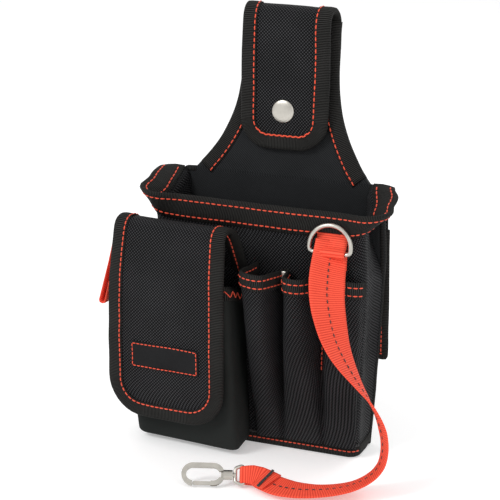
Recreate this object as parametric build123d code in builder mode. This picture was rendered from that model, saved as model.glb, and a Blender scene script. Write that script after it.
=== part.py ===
"""Electrician tool pouch: woven bag, belt strap, tool tubes, phone pocket and a snap-hook lanyard.

Millimetres, +Z up, +Y towards the wearer's hip, origin under the middle of the part.
"""
import os
from math import cos, pi, radians, sin, sqrt, tan

from build123d import *

os.makedirs("parts", exist_ok=True)

# ---------------------------------------------------------------- driving dimensions
BODY_X = 8.57                 # the bag's centre line, in the part's frame
BODY_Y = 11.57                # the bag's own y = 0, in the part's frame

FABRIC = 1.6                  # coated woven fabric with its lining
TAPE = 0.8                    # one ply of binding tape
BINDING = 10.6                # visible width of the edge binding
WEBBING = 25.0                # width of the orange webbing
WEBBING_T = 1.4               # thickness of the orange webbing

BACK_FACE = 20.0              # y of the bag's back face
BACK_OUTER = 1.2              # back wall layers, from the back forwards
BACK_BOARD = 2.0
BACK_INNER = 1.2
WALL = BACK_OUTER + BACK_BOARD + BACK_INNER
LINING_Y = BACK_FACE - WALL   # y of the back wall's inner face
BEND_Z = 182.0                # the yoke leans back above this height
LEAN = 8.5                    # degrees
FLOOR_Z = 1.0                 # underside of the bag's walls, above the bottom cover

HALF_BOTTOM = 70.0            # half width of the bag at its bottom
HALF_TOP = 76.0               # half width where the mouth starts to flare
FLARE_Z = 157.0
HALF_EAR = 86.0               # half width at the ears
EAR_Z = 178.0
EAR_SLOPE = 3.0               # how far the ears' tops slope in
FRONT_LOW = -12.5             # y of the front panel's outer face, at z = 0
FRONT_HIGH = -22.5            # and at the rim
RIM_FRONT_Z = 172.0
RIM_BACK_Z = 181.0
RIM_TAPE_H = 17.0

NECK_HALF = 34.5              # half width of the neck
YOKE_R = 102.0                # radius of the yoke's concave sides
YOKE_ARC_Z = 250.0            # where the concave sides become straight
NECK_TOP = 288.5
FOLD_R = 5.0                  # inside radius of the fold over the belt

TONGUE_HALF = 32.0
TONGUE_T = 3.0
TONGUE_LOW_Z = 199.0
TONGUE_CORNER = 19.5
TONGUE_LEAN = 3.7             # forward travel of the tongue's face over its length
JOINT_GAP = 0.4               # clearance at soft hinges

SNAP_Z = 228.0
SNAP_R = 7.8

FLAP_TURN = 4.8               # degrees that the phone pocket's face is turned
FLAP_TILT = 2.2               # degrees that the flap's lower end leans in
FLAP_HALF = 42.0
FLAP_LONG = 130.0
FLAP_T = 2.4
FLAP_CORNER = 26.0

REACH = 200.0                 # longer than the part, for cutting prisms

# ---------------------------------------------------------------- working planes
FRONT = Plane(origin=(BODY_X, BODY_Y, 0), x_dir=(1, 0, 0), z_dir=(0, -1, 0))
SIDE = Plane(origin=(BODY_X, BODY_Y, 0), x_dir=(0, 1, 0), z_dir=(1, 0, 0))
PLAN = Plane(origin=(BODY_X, BODY_Y, 0), x_dir=(1, 0, 0), z_dir=(0, 0, 1))


def polygon(plane, points):
    """A closed face from its corners, in a plane's own coordinates."""
    with BuildSketch(plane) as face:
        with BuildLine():
            Polyline(*points, close=True)
        make_face()
    return face.sketch


def wall_y(depth, z):
    """y of a surface that lies a depth in front of the back wall's back face."""
    if z <= BEND_Z:
        return BACK_FACE - depth
    return BACK_FACE + (z - BEND_Z) * tan(radians(LEAN)) - depth / cos(radians(LEAN))


def wall_layer(near, far, z_low, z_high):
    """Side profile of one layer of the back wall, bent where the yoke leans back."""
    mitre = tan(radians(LEAN / 2))
    points = []
    if z_low < BEND_Z:
        points += [(wall_y(near, z_low), z_low), (BACK_FACE - near, BEND_Z + near * mitre)]
    else:
        points += [(wall_y(near, z_low), z_low)]
    points += [(wall_y(near, z_high), z_high), (wall_y(far, z_high), z_high)]
    if z_low < BEND_Z:
        points += [(BACK_FACE - far, BEND_Z + far * mitre), (wall_y(far, z_low), z_low)]
    else:
        points += [(wall_y(far, z_low), z_low)]
    return polygon(SIDE, points)


def yoke_edge(grow, z):
    """Half width of the yoke at a height, grown outwards by a distance."""
    centre = NECK_HALF + YOKE_R
    return centre - sqrt((YOKE_R - grow) ** 2 - (YOKE_ARC_Z - z) ** 2)


def yoke_outline(grow, z_low, z_high):
    """Front outline of the yoke and neck."""
    low = yoke_edge(grow, z_low)
    middle_z = (z_low + YOKE_ARC_Z) / 2
    with BuildSketch(FRONT) as face:
        with BuildLine():
            Line((0, z_low), (low, z_low))
            ThreePointArc(
                (low, z_low), (yoke_edge(grow, middle_z), middle_z), (NECK_HALF + grow, YOKE_ARC_Z)
            )
            Line((NECK_HALF + grow, YOKE_ARC_Z), (NECK_HALF + grow, z_high))
            Line((NECK_HALF + grow, z_high), (0, z_high))
            mirror(about=Plane.YZ)
        make_face()
    return face.sketch


def bag_points(inset, z_low, z_high):
    """Front outline of the bag, with its flared mouth, inset from its sides."""
    slope = (HALF_EAR - HALF_TOP) / (EAR_Z - FLARE_Z)
    low = HALF_BOTTOM + (HALF_TOP - HALF_BOTTOM) * z_low / FLARE_Z - inset
    right = [
        (low, z_low),
        (HALF_TOP - inset, FLARE_Z),
        (HALF_TOP - inset + slope * (z_high - FLARE_Z), z_high),
    ]
    left = [(-x, z) for x, z in reversed(right)]
    return right + left


def front_y(z):
    """y of the front panel's outer face."""
    return FRONT_LOW + (FRONT_HIGH - FRONT_LOW) * z / RIM_FRONT_Z


def rim_z(y):
    """Height of the mouth's edge, which rises from the front to the back."""
    return RIM_FRONT_Z + (RIM_BACK_Z - RIM_FRONT_Z) * (y - FRONT_HIGH) / (LINING_Y - FRONT_HIGH)


def bag_depth(front_inset, z_low):
    """Side profile of the space between the front panel and the back wall."""
    front_top = FRONT_HIGH + front_inset
    return polygon(
        SIDE,
        [
            (LINING_Y, z_low),
            (LINING_Y, rim_z(LINING_Y)),
            (front_top, rim_z(front_top)),
            (front_y(z_low) + front_inset, z_low),
        ],
    )


def behind_front():
    """Side profile of everything behind the front panel's outer face, for cutting pieces sewn on it."""
    return polygon(
        SIDE, [(front_y(0), 0), (front_y(RIM_FRONT_Z), RIM_FRONT_Z), (REACH, RIM_FRONT_Z), (REACH, 0)]
    )


# ---------------------------------------------------------------- back wall, yoke and neck
def back_outline():
    """Front outline of the whole back wall: bag, ears, yoke and neck."""
    ear_points = [
        (HALF_EAR, EAR_Z),
        (HALF_EAR - EAR_SLOPE, BEND_Z),
        (EAR_SLOPE - HALF_EAR, BEND_Z),
        (-HALF_EAR, EAR_Z),
    ]
    middle_z = 215.0
    with BuildSketch(FRONT) as face:
        add(polygon(Plane.XY, bag_points(0, FLOOR_Z, EAR_Z)))
        add(polygon(Plane.XY, ear_points))
        with BuildLine():
            Line((0, BEND_Z), (yoke_edge(0, BEND_Z), BEND_Z))
            ThreePointArc(
                (yoke_edge(0, BEND_Z), BEND_Z), (yoke_edge(0, middle_z), middle_z), (NECK_HALF, YOKE_ARC_Z)
            )
            Line((NECK_HALF, YOKE_ARC_Z), (NECK_HALF, NECK_TOP))
            Line((NECK_HALF, NECK_TOP), (0, NECK_TOP))
            mirror(about=Plane.YZ)
        make_face()
    return face.sketch


BACK_OUTLINE = back_outline()
SNAP_SHANK_R = 1.5
SNAP_BASE_R = 5.5             # radius of the stud, the socket and the rivet's head
STUD_FACE = Plane(
    origin=(BODY_X, BODY_Y + wall_y(WALL, SNAP_Z), SNAP_Z),
    x_dir=(1, 0, 0),
    z_dir=(0, -cos(radians(LEAN)), sin(radians(LEAN))),
)
with BuildPart() as snap_rivet:
    with BuildSketch(STUD_FACE):
        Circle(SNAP_SHANK_R)
    extrude(amount=-WALL)
    with BuildSketch(STUD_FACE.offset(-WALL)):
        Circle(SNAP_BASE_R)
    extrude(amount=-0.8)
snap_rivet.part.label = "snap_rivet"

with BuildPart() as back_panel:
    extrude(wall_layer(0, BACK_OUTER, FLOOR_Z, NECK_TOP), amount=REACH, both=True)
    extrude(BACK_OUTLINE, amount=REACH, both=True, mode=Mode.INTERSECT)
    add(snap_rivet.part, mode=Mode.SUBTRACT)
back_panel.part.label = "back_panel"

with BuildPart() as back_stiffener:
    extrude(wall_layer(BACK_OUTER, BACK_OUTER + BACK_BOARD, FLOOR_Z, NECK_TOP), amount=REACH, both=True)
    extrude(BACK_OUTLINE, amount=REACH, both=True, mode=Mode.INTERSECT)
    add(snap_rivet.part, mode=Mode.SUBTRACT)
back_stiffener.part.label = "back_stiffener"

with BuildPart() as back_lining:
    extrude(wall_layer(BACK_OUTER + BACK_BOARD, WALL, FLOOR_Z, NECK_TOP), amount=REACH, both=True)
    extrude(BACK_OUTLINE, amount=REACH, both=True, mode=Mode.INTERSECT)
    add(snap_rivet.part, mode=Mode.SUBTRACT)
back_lining.part.label = "back_lining"


def yoke_binding(side):
    """Tape wrapped round one curved edge of the yoke, front, edge and back."""
    low = BEND_Z + 1.5
    with BuildPart() as band:
        extrude(wall_layer(-TAPE, WALL + TAPE, low, NECK_TOP), amount=REACH, both=True)
        extrude(yoke_outline(TAPE, low, NECK_TOP), amount=REACH, both=True, mode=Mode.INTERSECT)
        extrude(yoke_outline(-BINDING, low - 1, NECK_TOP + 1), amount=REACH, both=True, mode=Mode.SUBTRACT)
        add(back_panel.part, mode=Mode.SUBTRACT)
        add(back_stiffener.part, mode=Mode.SUBTRACT)
        add(back_lining.part, mode=Mode.SUBTRACT)
        split(bisect_by=SIDE, keep=Keep.TOP if side > 0 else Keep.BOTTOM)
    return band


yoke_binding_right = yoke_binding(1)
yoke_binding_right.part.label = "yoke_binding_right"
yoke_binding_left = yoke_binding(-1)
yoke_binding_left.part.label = "yoke_binding_left"

# the neck folds forwards over the belt
FOLD_OUTER = FOLD_R + WALL / cos(radians(LEAN))
FOLD_Y = wall_y(WALL, NECK_TOP) - FOLD_R
TONGUE_TOP_Y = FOLD_Y - FOLD_OUTER

with BuildPart() as neck_fold:
    with BuildSketch(SIDE):
        with BuildLine():
            Line((FOLD_Y + FOLD_R, NECK_TOP), (FOLD_Y + FOLD_OUTER, NECK_TOP))
            RadiusArc((FOLD_Y + FOLD_OUTER, NECK_TOP), (FOLD_Y - FOLD_OUTER, NECK_TOP), -FOLD_OUTER)
            Line((FOLD_Y - FOLD_OUTER, NECK_TOP), (FOLD_Y - FOLD_R, NECK_TOP))
            RadiusArc((FOLD_Y - FOLD_R, NECK_TOP), (FOLD_Y + FOLD_R, NECK_TOP), FOLD_R)
        make_face()
    extrude(amount=NECK_HALF, both=True)
neck_fold.part.label = "neck_fold"


# ---------------------------------------------------------------- belt tongue and press stud
def tongue_y(z):
    """y of the tongue's front face."""
    return TONGUE_TOP_Y - TONGUE_LEAN * (NECK_TOP - z) / (NECK_TOP - TONGUE_LOW_Z)


def tongue_outline(grow, z_high):
    """Front outline of the tongue with its round lower corners."""
    half = TONGUE_HALF + grow
    low = TONGUE_LOW_Z - grow
    with BuildSketch(FRONT) as face:
        with BuildLine():
            FilletPolyline(
                (-half, z_high), (-half, low), (half, low), (half, z_high), radius=TONGUE_CORNER + grow
            )
            Line((half, z_high), (-half, z_high))
        make_face()
    return face.sketch


def tongue_layer(front, back, z_high):
    """Side profile of a layer of the tongue, between two distances behind its front face."""
    low = TONGUE_LOW_Z - 5
    return polygon(
        SIDE,
        [
            (tongue_y(low) + front, low),
            (tongue_y(z_high) + front, z_high),
            (tongue_y(z_high) + back, z_high),
            (tongue_y(low) + back, low),
        ],
    )


TONGUE_HIGH = NECK_TOP - JOINT_GAP
SNAP_FACE = Plane(
    origin=(BODY_X, BODY_Y + tongue_y(SNAP_Z), SNAP_Z),
    x_dir=(1, 0, 0),
    z_dir=(0, -(NECK_TOP - TONGUE_LOW_Z), TONGUE_LEAN),
)

with BuildPart() as snap_cap:
    with BuildSketch(SNAP_FACE):
        Circle(SNAP_R)
    extrude(amount=1.1)
    fillet(snap_cap.faces().sort_by(Axis.Y)[0].edges(), radius=0.9)
    with BuildSketch(SNAP_FACE):
        Circle(SNAP_SHANK_R)
    extrude(amount=-TONGUE_T)
snap_cap.part.label = "snap_cap"

with BuildPart() as belt_tongue:
    extrude(tongue_layer(0, TONGUE_T, TONGUE_HIGH), amount=REACH, both=True)
    extrude(tongue_outline(0, TONGUE_HIGH), amount=REACH, both=True, mode=Mode.INTERSECT)
    add(snap_cap.part, mode=Mode.SUBTRACT)
belt_tongue.part.label = "belt_tongue"

with BuildPart() as belt_tongue_binding:
    extrude(tongue_layer(-TAPE, TONGUE_T + TAPE, TONGUE_HIGH), amount=REACH, both=True)
    extrude(tongue_outline(TAPE, TONGUE_HIGH), amount=REACH, both=True, mode=Mode.INTERSECT)
    extrude(tongue_outline(-BINDING, TONGUE_HIGH + 1), amount=REACH, both=True, mode=Mode.SUBTRACT)
    extrude(tongue_layer(0, TONGUE_T, TONGUE_HIGH + 1), amount=TONGUE_HALF, both=True, mode=Mode.SUBTRACT)
    add(belt_tongue.part, mode=Mode.SUBTRACT)
belt_tongue_binding.part.label = "belt_tongue_binding"

SOCKET_H = 1.8
SOCKET_BORE = 2.9
STUD_NOSE_R = 2.0
STUD_NOSE_H = 2.6
with BuildPart() as snap_socket:
    with BuildSketch(SNAP_FACE.offset(-TONGUE_T)):
        Circle(SNAP_BASE_R)
        Circle(SOCKET_BORE, mode=Mode.SUBTRACT)
    extrude(amount=-SOCKET_H)
    with BuildSketch(SNAP_FACE.offset(-TONGUE_T)):
        Circle(SOCKET_BORE)
    extrude(amount=-0.4)
snap_socket.part.label = "snap_socket"

with BuildPart() as snap_stud:
    with BuildSketch(STUD_FACE):
        Circle(SNAP_BASE_R)
    extrude(amount=0.8)
    with BuildSketch(STUD_FACE):
        Circle(STUD_NOSE_R)
    extrude(amount=STUD_NOSE_H)
snap_stud.part.label = "snap_stud"

# ---------------------------------------------------------------- bag walls
with BuildPart() as front_panel:
    extrude(
        polygon(
            SIDE,
            [
                (front_y(FLOOR_Z), FLOOR_Z),
                (FRONT_HIGH, RIM_FRONT_Z),
                (FRONT_HIGH + FABRIC, rim_z(FRONT_HIGH + FABRIC)),
                (front_y(FLOOR_Z) + FABRIC, FLOOR_Z),
            ],
        ),
        amount=REACH,
        both=True,
    )
    extrude(polygon(FRONT, bag_points(0, 0, RIM_BACK_Z)), amount=REACH, both=True, mode=Mode.INTERSECT)
front_panel.part.label = "front_panel"


def gusset(side):
    """One side wall of the bag, between the front panel and the back wall."""
    inside = polygon(FRONT, bag_points(FABRIC, -1, RIM_BACK_Z + 9))
    with BuildPart() as wall:
        extrude(polygon(FRONT, bag_points(0, 0, RIM_BACK_Z)), amount=REACH, both=True)
        extrude(inside, amount=REACH, both=True, mode=Mode.SUBTRACT)
        extrude(bag_depth(FABRIC, FLOOR_Z), amount=REACH, both=True, mode=Mode.INTERSECT)
        split(bisect_by=SIDE, keep=Keep.TOP if side > 0 else Keep.BOTTOM)
    return wall


gusset_right = gusset(1)
gusset_right.part.label = "gusset_right"
gusset_left = gusset(-1)
gusset_left.part.label = "gusset_left"

COVER_H = 8.0
with BuildPart() as bottom_panel:
    extrude(
        polygon(
            SIDE,
            [
                (LINING_Y, FLOOR_Z),
                (LINING_Y, FLOOR_Z + FABRIC),
                (front_y(FLOOR_Z) + FABRIC, FLOOR_Z + FABRIC),
                (front_y(FLOOR_Z) + FABRIC, FLOOR_Z),
            ],
        ),
        amount=HALF_BOTTOM - FABRIC,
        both=True,
    )
bottom_panel.part.label = "bottom_panel"

with BuildPart() as bottom_cover:
    extrude(
        polygon(
            SIDE,
            [
                (BACK_FACE, 0),
                (BACK_FACE, FLOOR_Z),
                (front_y(FLOOR_Z), FLOOR_Z),
                (front_y(COVER_H), COVER_H),
                (front_y(COVER_H) - FLOOR_Z, COVER_H),
                (front_y(0) - FLOOR_Z, 0),
            ],
        ),
        amount=HALF_BOTTOM,
        both=True,
    )
bottom_cover.part.label = "bottom_cover"

rim_inside = polygon(FRONT, bag_points(FABRIC + TAPE, 90, RIM_BACK_Z + 9))
RIM_TAPE_LOW_Z = RIM_FRONT_Z - RIM_TAPE_H
with BuildPart() as rim_tape:
    extrude(polygon(FRONT, bag_points(-TAPE, 100, RIM_BACK_Z + 2)), amount=REACH, both=True)
    extrude(rim_inside, amount=REACH, both=True, mode=Mode.SUBTRACT)
    extrude(
        polygon(
            SIDE,
            [
                (LINING_Y, RIM_BACK_Z - RIM_TAPE_H),
                (LINING_Y, RIM_BACK_Z + TAPE),
                (FRONT_HIGH - TAPE, RIM_FRONT_Z + TAPE),
                (front_y(RIM_TAPE_LOW_Z) - TAPE, RIM_TAPE_LOW_Z),
            ],
        ),
        amount=REACH,
        both=True,
        mode=Mode.INTERSECT,
    )
    extrude(
        polygon(
            SIDE,
            [
                (front_y(RIM_TAPE_LOW_Z) - TAPE, RIM_TAPE_LOW_Z),
                (FRONT_HIGH - TAPE, RIM_FRONT_Z + TAPE),
                (FRONT_HIGH + FABRIC + TAPE, RIM_FRONT_Z + TAPE),
                (front_y(RIM_TAPE_LOW_Z) + FABRIC + TAPE, RIM_TAPE_LOW_Z),
            ],
        ),
        amount=HALF_TOP + 1,
        both=True,
    )
    add(front_panel.part, mode=Mode.SUBTRACT)
    add(gusset_left.part, mode=Mode.SUBTRACT)
    add(gusset_right.part, mode=Mode.SUBTRACT)
rim_tape.part.label = "rim_tape"


# ---------------------------------------------------------------- pockets on the front
def section(z, corners, radii, grow):
    """Plan section of a pocket at a height: a quadrilateral with its two front corners round."""
    with BuildSketch(PLAN.offset(z)) as face:
        with BuildLine():
            Polyline(*corners, close=True)
        make_face()
        if grow:
            offset(amount=grow, kind=Kind.INTERSECTION)
        for radius, corner in zip(radii, face.vertices().sort_by(Axis.Y)[:2].sort_by(Axis.X)):
            fillet(corner, radius=max(radius + grow, 0.4))
    return face.sketch


def slanted(low, high, z_low, z_high, z):
    """Section corners at a height between two sections."""
    part = (z - z_low) / (z_high - z_low)
    return [(a[0] + (b[0] - a[0]) * part, a[1] + (b[1] - a[1]) * part) for a, b in zip(low, high)]


def pocket_solid(low, high, radii_low, radii_high, z_low, z_high, grow, z_from=None, z_to=None):
    """A pocket's solid shape between two heights, grown by a distance."""
    start = z_low if z_from is None else z_from
    end = z_high if z_to is None else z_to
    near = slanted(low, high, z_low, z_high, start)
    far = slanted(low, high, z_low, z_high, end)
    with BuildPart() as solid:
        loft([section(start, near, radii_low, grow), section(end, far, radii_high, grow)])
    return solid.part


POCKET_FABRIC = 1.4
POCKET_LOW_Z = 8.0
POCKET_TAPE_H = 11.0


TUBES = {
    "left": dict(
        top=133.0,
        low=[(-1.0, None), (18.0, None), (16.0, -17.5), (1.0, -18.5)],
        high=[(-2.5, None), (19.8, None), (11.5, -57.0), (-6.5, -50.0)],
        radii_low=(1.5, 1.5),
        radii_high=(8.0, 7.0),
    ),
    "middle": dict(
        top=130.0,
        low=[(18.5, None), (47.0, None), (45.0, -17.0), (21.0, -17.5)],
        high=[(20.3, None), (46.4, None), (39.5, -44.5), (24.5, -46.0)],
        radii_low=(1.5, 1.5),
        radii_high=(7.0, 7.0),
    ),
    "right": dict(
        top=127.5,
        low=[(47.5, None), (70.0, None), (68.0, -17.0), (50.0, -17.0)],
        high=[(47.2, None), (74.0, None), (71.0, -29.0), (51.0, -30.5)],
        radii_low=(1.5, 1.5),
        radii_high=(4.0, 5.0),
    ),
}


def tube_corners(tube, level):
    """A tube's corners at its bottom or mouth, with the sewn edge on the front panel."""
    z = POCKET_LOW_Z if level == "low" else tube["top"]
    return [(x, front_y(z) if y is None else y) for x, y in tube[level]]


# rivet that pins the pleat between the left and middle tubes
RIVET_SHANK_R = 1.5
RIVET_HEAD_R = 3.5
RIVET_X = 19.9
RIVET_Z = 127.0
RIVET_FACE = Plane(
    origin=(BODY_X + RIVET_X, BODY_Y + front_y(RIVET_Z), RIVET_Z), x_dir=(1, 0, 0), z_dir=(0, -1, 0)
)
RIVET_OUT = 9.0
with BuildPart() as pocket_rivet:
    with BuildSketch(RIVET_FACE):
        Circle(RIVET_SHANK_R)
    extrude(amount=RIVET_OUT)
    with BuildSketch(RIVET_FACE.offset(RIVET_OUT)):
        Circle(RIVET_HEAD_R)
    extrude(amount=1.3)
    fillet(pocket_rivet.faces().sort_by(Axis.Y)[0].edges(), radius=0.8)
    add(front_panel.part, mode=Mode.SUBTRACT)
pocket_rivet.part.label = "pocket_rivet"


def tool_pocket(name):
    """One open tube of the pleated tool panel."""
    tube = TUBES[name]
    low = tube_corners(tube, "low")
    high = tube_corners(tube, "high")
    shape = (low, high, tube["radii_low"], tube["radii_high"], POCKET_LOW_Z, tube["top"])
    floor_z = POCKET_LOW_Z + 2.0
    with BuildPart() as shell:
        add(pocket_solid(*shape, 0.0))
        add(pocket_solid(*shape, -POCKET_FABRIC, z_from=floor_z, z_to=tube["top"] + 1), mode=Mode.SUBTRACT)
        add(pocket_rivet.part, mode=Mode.SUBTRACT)
        add(front_panel.part, mode=Mode.SUBTRACT)
    shell.part.label = "tool_pocket_" + name
    return shell


def tool_pocket_tape(name, neighbours):
    """Ribbed tape round a tube's mouth, cut back from the tapes beside it."""
    tube = TUBES[name]
    low = tube_corners(tube, "low")
    high = tube_corners(tube, "high")
    shape = (low, high, tube["radii_low"], tube["radii_high"], POCKET_LOW_Z, tube["top"])
    start = tube["top"] - POCKET_TAPE_H
    with BuildPart() as band:
        add(pocket_solid(*shape, TAPE / 2, z_from=start))
        add(pocket_solid(*shape, 0.0), mode=Mode.SUBTRACT)
        add(pocket_rivet.part, mode=Mode.SUBTRACT)
        for neighbour in neighbours:
            add(neighbour.part, mode=Mode.SUBTRACT)
        extrude(behind_front(), amount=REACH, both=True, mode=Mode.SUBTRACT)
    band.part.label = "tool_pocket_tape_" + name
    return band


tool_pockets = [tool_pocket(name) for name in TUBES]
tool_pocket_tapes = []
for name in TUBES:
    tool_pocket_tapes.append(tool_pocket_tape(name, tool_pockets + tool_pocket_tapes))

# ---------------------------------------------------------------- phone pocket
PHONE_TOP = 112.0
PHONE_LOW_Z = 3.5
PHONE_SHAPE = (
    [(-82.0, front_y(PHONE_LOW_Z)), (-6.3, front_y(PHONE_LOW_Z)), (-3.5, -44.0), (-81.5, -36.5)],
    [(-86.0, front_y(PHONE_TOP)), (-10.7, front_y(PHONE_TOP)), (-11.0, -53.3), (-90.0, -45.6)],
    (6.0, 6.0),
    (6.0, 6.0),
    PHONE_LOW_Z,
    PHONE_TOP,
)
PHONE_TAPE_H = 9.0

with BuildPart() as phone_pocket:
    add(pocket_solid(*PHONE_SHAPE, 0.0))
    add(pocket_solid(*PHONE_SHAPE, -FABRIC, z_from=PHONE_LOW_Z + 2, z_to=PHONE_TOP + 1), mode=Mode.SUBTRACT)
    add(bottom_cover.part, mode=Mode.SUBTRACT)
phone_pocket.part.label = "phone_pocket"

with BuildPart() as phone_pocket_tape:
    add(pocket_solid(*PHONE_SHAPE, TAPE / 2, z_from=PHONE_TOP - PHONE_TAPE_H))
    add(pocket_solid(*PHONE_SHAPE, 0.0), mode=Mode.SUBTRACT)
    extrude(behind_front(), amount=REACH, both=True, mode=Mode.SUBTRACT)
phone_pocket_tape.part.label = "phone_pocket_tape"

# ---------------------------------------------------------------- phone flap
turn = radians(FLAP_TURN)
tilt = radians(FLAP_TILT)
FLAP_X = -55.0
FLAP_Y = -55.5
FLAP_Z = 150.0
FLAP_FACE = Plane(
    origin=(BODY_X + FLAP_X, BODY_Y + FLAP_Y, FLAP_Z),
    x_dir=(cos(turn), -sin(turn), 0),
    z_dir=(-sin(turn) * cos(tilt), -cos(turn) * cos(tilt), -sin(tilt)),
)
# side plane of the flap: x backwards, y up
FLAP_SIDE = Plane(
    origin=(BODY_X + FLAP_X, BODY_Y + FLAP_Y, FLAP_Z),
    x_dir=(sin(turn), cos(turn), 0),
    z_dir=(cos(turn), -sin(turn), 0),
)


def flap_outline(plane, grow, high):
    """Outline of the flap with its round lower corners."""
    half = FLAP_HALF + grow
    low = -FLAP_LONG - grow
    with BuildSketch(plane) as face:
        with BuildLine():
            FilletPolyline(
                (-half, high), (-half, low), (half, low), (half, high), radius=FLAP_CORNER + grow
            )
            Line((half, high), (-half, high))
        make_face()
    return face.sketch


with BuildPart() as phone_flap:
    extrude(flap_outline(FLAP_FACE, 0, -JOINT_GAP), amount=-FLAP_T)
phone_flap.part.label = "phone_flap"

with BuildPart() as phone_flap_binding:
    extrude(flap_outline(FLAP_FACE.offset(TAPE), TAPE, -JOINT_GAP), amount=-FLAP_T - 2 * TAPE)
    extrude(flap_outline(FLAP_FACE.offset(REACH), -BINDING, 1), amount=-2 * REACH, mode=Mode.SUBTRACT)
    add(phone_flap.part, mode=Mode.SUBTRACT)
phone_flap_binding.part.label = "phone_flap_binding"

LABEL_W = 46.0
LABEL_H = 19.0
LABEL_DROP = 85.0             # from the flap's hinge down to the label's middle
PATCH_DROP = 95.0             # and to the middle of the hook and loop patches
with BuildPart() as label_patch:
    with BuildSketch(FLAP_FACE):
        with Locations((0, -LABEL_DROP)):
            RectangleRounded(LABEL_W, LABEL_H, 1.5)
    extrude(amount=0.9)
label_patch.part.label = "label_patch"

with BuildPart() as flap_hook_patch:
    with BuildSketch(FLAP_FACE.offset(-FLAP_T)):
        with Locations((0, -PATCH_DROP)):
            RectangleRounded(50, 25, 2)
    extrude(amount=-0.6)
flap_hook_patch.part.label = "flap_hook_patch"

# plan outline of the gathered cloth that joins the flap to the bag
FLAP_ROOT_PLAN = [(-97.3, -62), (-97.3, -36), (-74, -10), (-9, -10), (-9, -26), (-15, -42), (-13, -62)]
with BuildPart() as phone_flap_root:
    with BuildSketch(FLAP_SIDE):
        with BuildLine() as ridge:
            FilletPolyline((1.2, 0), (1.2, 8.6), (19, 8.6), (42, -27), radius=7)
        trace(ridge.line, line_width=FLAP_T)
    extrude(amount=REACH, both=True)
    extrude(polygon(PLAN, FLAP_ROOT_PLAN), amount=REACH, mode=Mode.INTERSECT)
    extrude(behind_front(), amount=REACH, both=True, mode=Mode.SUBTRACT)
phone_flap_root.part.label = "phone_flap_root"

with BuildPart() as flap_loop_patch:
    with BuildSketch(FLAP_FACE.offset(-FLAP_T - 1.0)):
        with Locations((0, -PATCH_DROP)):
            RectangleRounded(46, 22, 2)
    extrude(amount=-14)
    add(pocket_solid(*PHONE_SHAPE, 0.0), mode=Mode.SUBTRACT)
    extrude(
        polygon(PLAN, [(-100, -20), (-100, -49), (0, -49), (0, -20)]), amount=REACH, mode=Mode.SUBTRACT
    )
flap_loop_patch.part.label = "flap_loop_patch"

# ---------------------------------------------------------------- snap hook
HOOK_X, HOOK_Y, HOOK_Z = 8.6, -91.5, 7.6
HOOK_HEADING = 200.6          # degrees, the way the hook's tip points
HOOK_ROLL = 50.0              # degrees that the hook's flat side is tipped towards the front
heading = radians(HOOK_HEADING)
roll = radians(HOOK_ROLL)
HOOK = Plane(
    origin=(BODY_X + HOOK_X, BODY_Y + HOOK_Y, HOOK_Z),
    x_dir=(cos(heading), sin(heading), 0),
    z_dir=(-sin(heading) * sin(roll), cos(heading) * sin(roll), cos(roll)),
)
POST_R = 1.5
POST_BORE = 1.55
BARREL_R = 3.2
EYE_WIRE = 1.2
EYE_HALF = 6.8
EYE_BAR_X = -9.5
EYE_NECK_X = -3.9
EYE_NECK_HALF = 4.6
HOOK_T = 3.0
HOOK_W = 15.0
HOOK_NEAR, HOOK_FAR = 3.0, 31.0
GATE_Y = 6.0
GATE_X = 10.0
GATE_FAR = 24.0


def along(x):
    """A plane across the hook's axis."""
    return Plane(origin=HOOK.from_local_coords((x, 0, 0)), x_dir=HOOK.y_dir, z_dir=HOOK.x_dir)


with BuildPart() as swivel_eye:
    with BuildLine(HOOK) as eye_loop:
        FilletPolyline(
            (EYE_BAR_X, 0),
            (EYE_BAR_X, EYE_HALF),
            (EYE_NECK_X, EYE_NECK_HALF),
            (EYE_NECK_X, -EYE_NECK_HALF),
            (EYE_BAR_X, -EYE_HALF),
            (EYE_BAR_X, -0.001),
            radius=1.8,
        )
        Line((EYE_BAR_X, -0.001), (EYE_BAR_X, 0))
    with BuildSketch(Plane(origin=eye_loop.line @ 0, z_dir=eye_loop.line % 0)):
        Circle(EYE_WIRE)
    sweep(transition=Transition.ROUND)
    with BuildSketch(along(-4.2)):
        Circle(POST_R)
    extrude(amount=9.0)
    with BuildSketch(along(4.2)):
        Circle(2.4)
    extrude(amount=1.2)
swivel_eye.part.label = "swivel_eye"

with BuildPart() as hook_body:
    with BuildSketch(HOOK):
        with Locations(((HOOK_NEAR + HOOK_FAR) / 2, 0)):
            SlotOverall(HOOK_FAR - HOOK_NEAR, HOOK_W)
            SlotOverall(HOOK_FAR - HOOK_NEAR - 2 * HOOK_T, HOOK_W - 2 * HOOK_T, mode=Mode.SUBTRACT)
        with Locations(((GATE_X + 2 + GATE_FAR) / 2, GATE_Y)):
            Rectangle(GATE_FAR - GATE_X - 2, 5, mode=Mode.SUBTRACT)
    extrude(amount=HOOK_T / 2, both=True)
    with BuildSketch(along(-2.2)):
        Circle(BARREL_R)
    extrude(amount=6.2)
    with BuildSketch(along(-3)):
        Circle(POST_BORE)
    extrude(amount=8, mode=Mode.SUBTRACT)
    with BuildSketch(along(4.0)):
        Circle(2.6)
    extrude(amount=3, mode=Mode.SUBTRACT)
    # slot and pin hole for the gate
    with BuildSketch(HOOK):
        with Locations((GATE_X, GATE_Y)):
            Rectangle(7.0, 6.4)
    extrude(amount=1.1, both=True, mode=Mode.SUBTRACT)
    with BuildSketch(HOOK):
        with Locations((GATE_X, GATE_Y)):
            Circle(0.75)
    extrude(amount=HOOK_T, both=True, mode=Mode.SUBTRACT)
hook_body.part.label = "hook_body"

with BuildPart() as gate_pin:
    with BuildSketch(HOOK):
        with Locations((GATE_X, GATE_Y)):
            Circle(0.75)
    extrude(amount=HOOK_T / 2, both=True)
gate_pin.part.label = "gate_pin"

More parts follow.
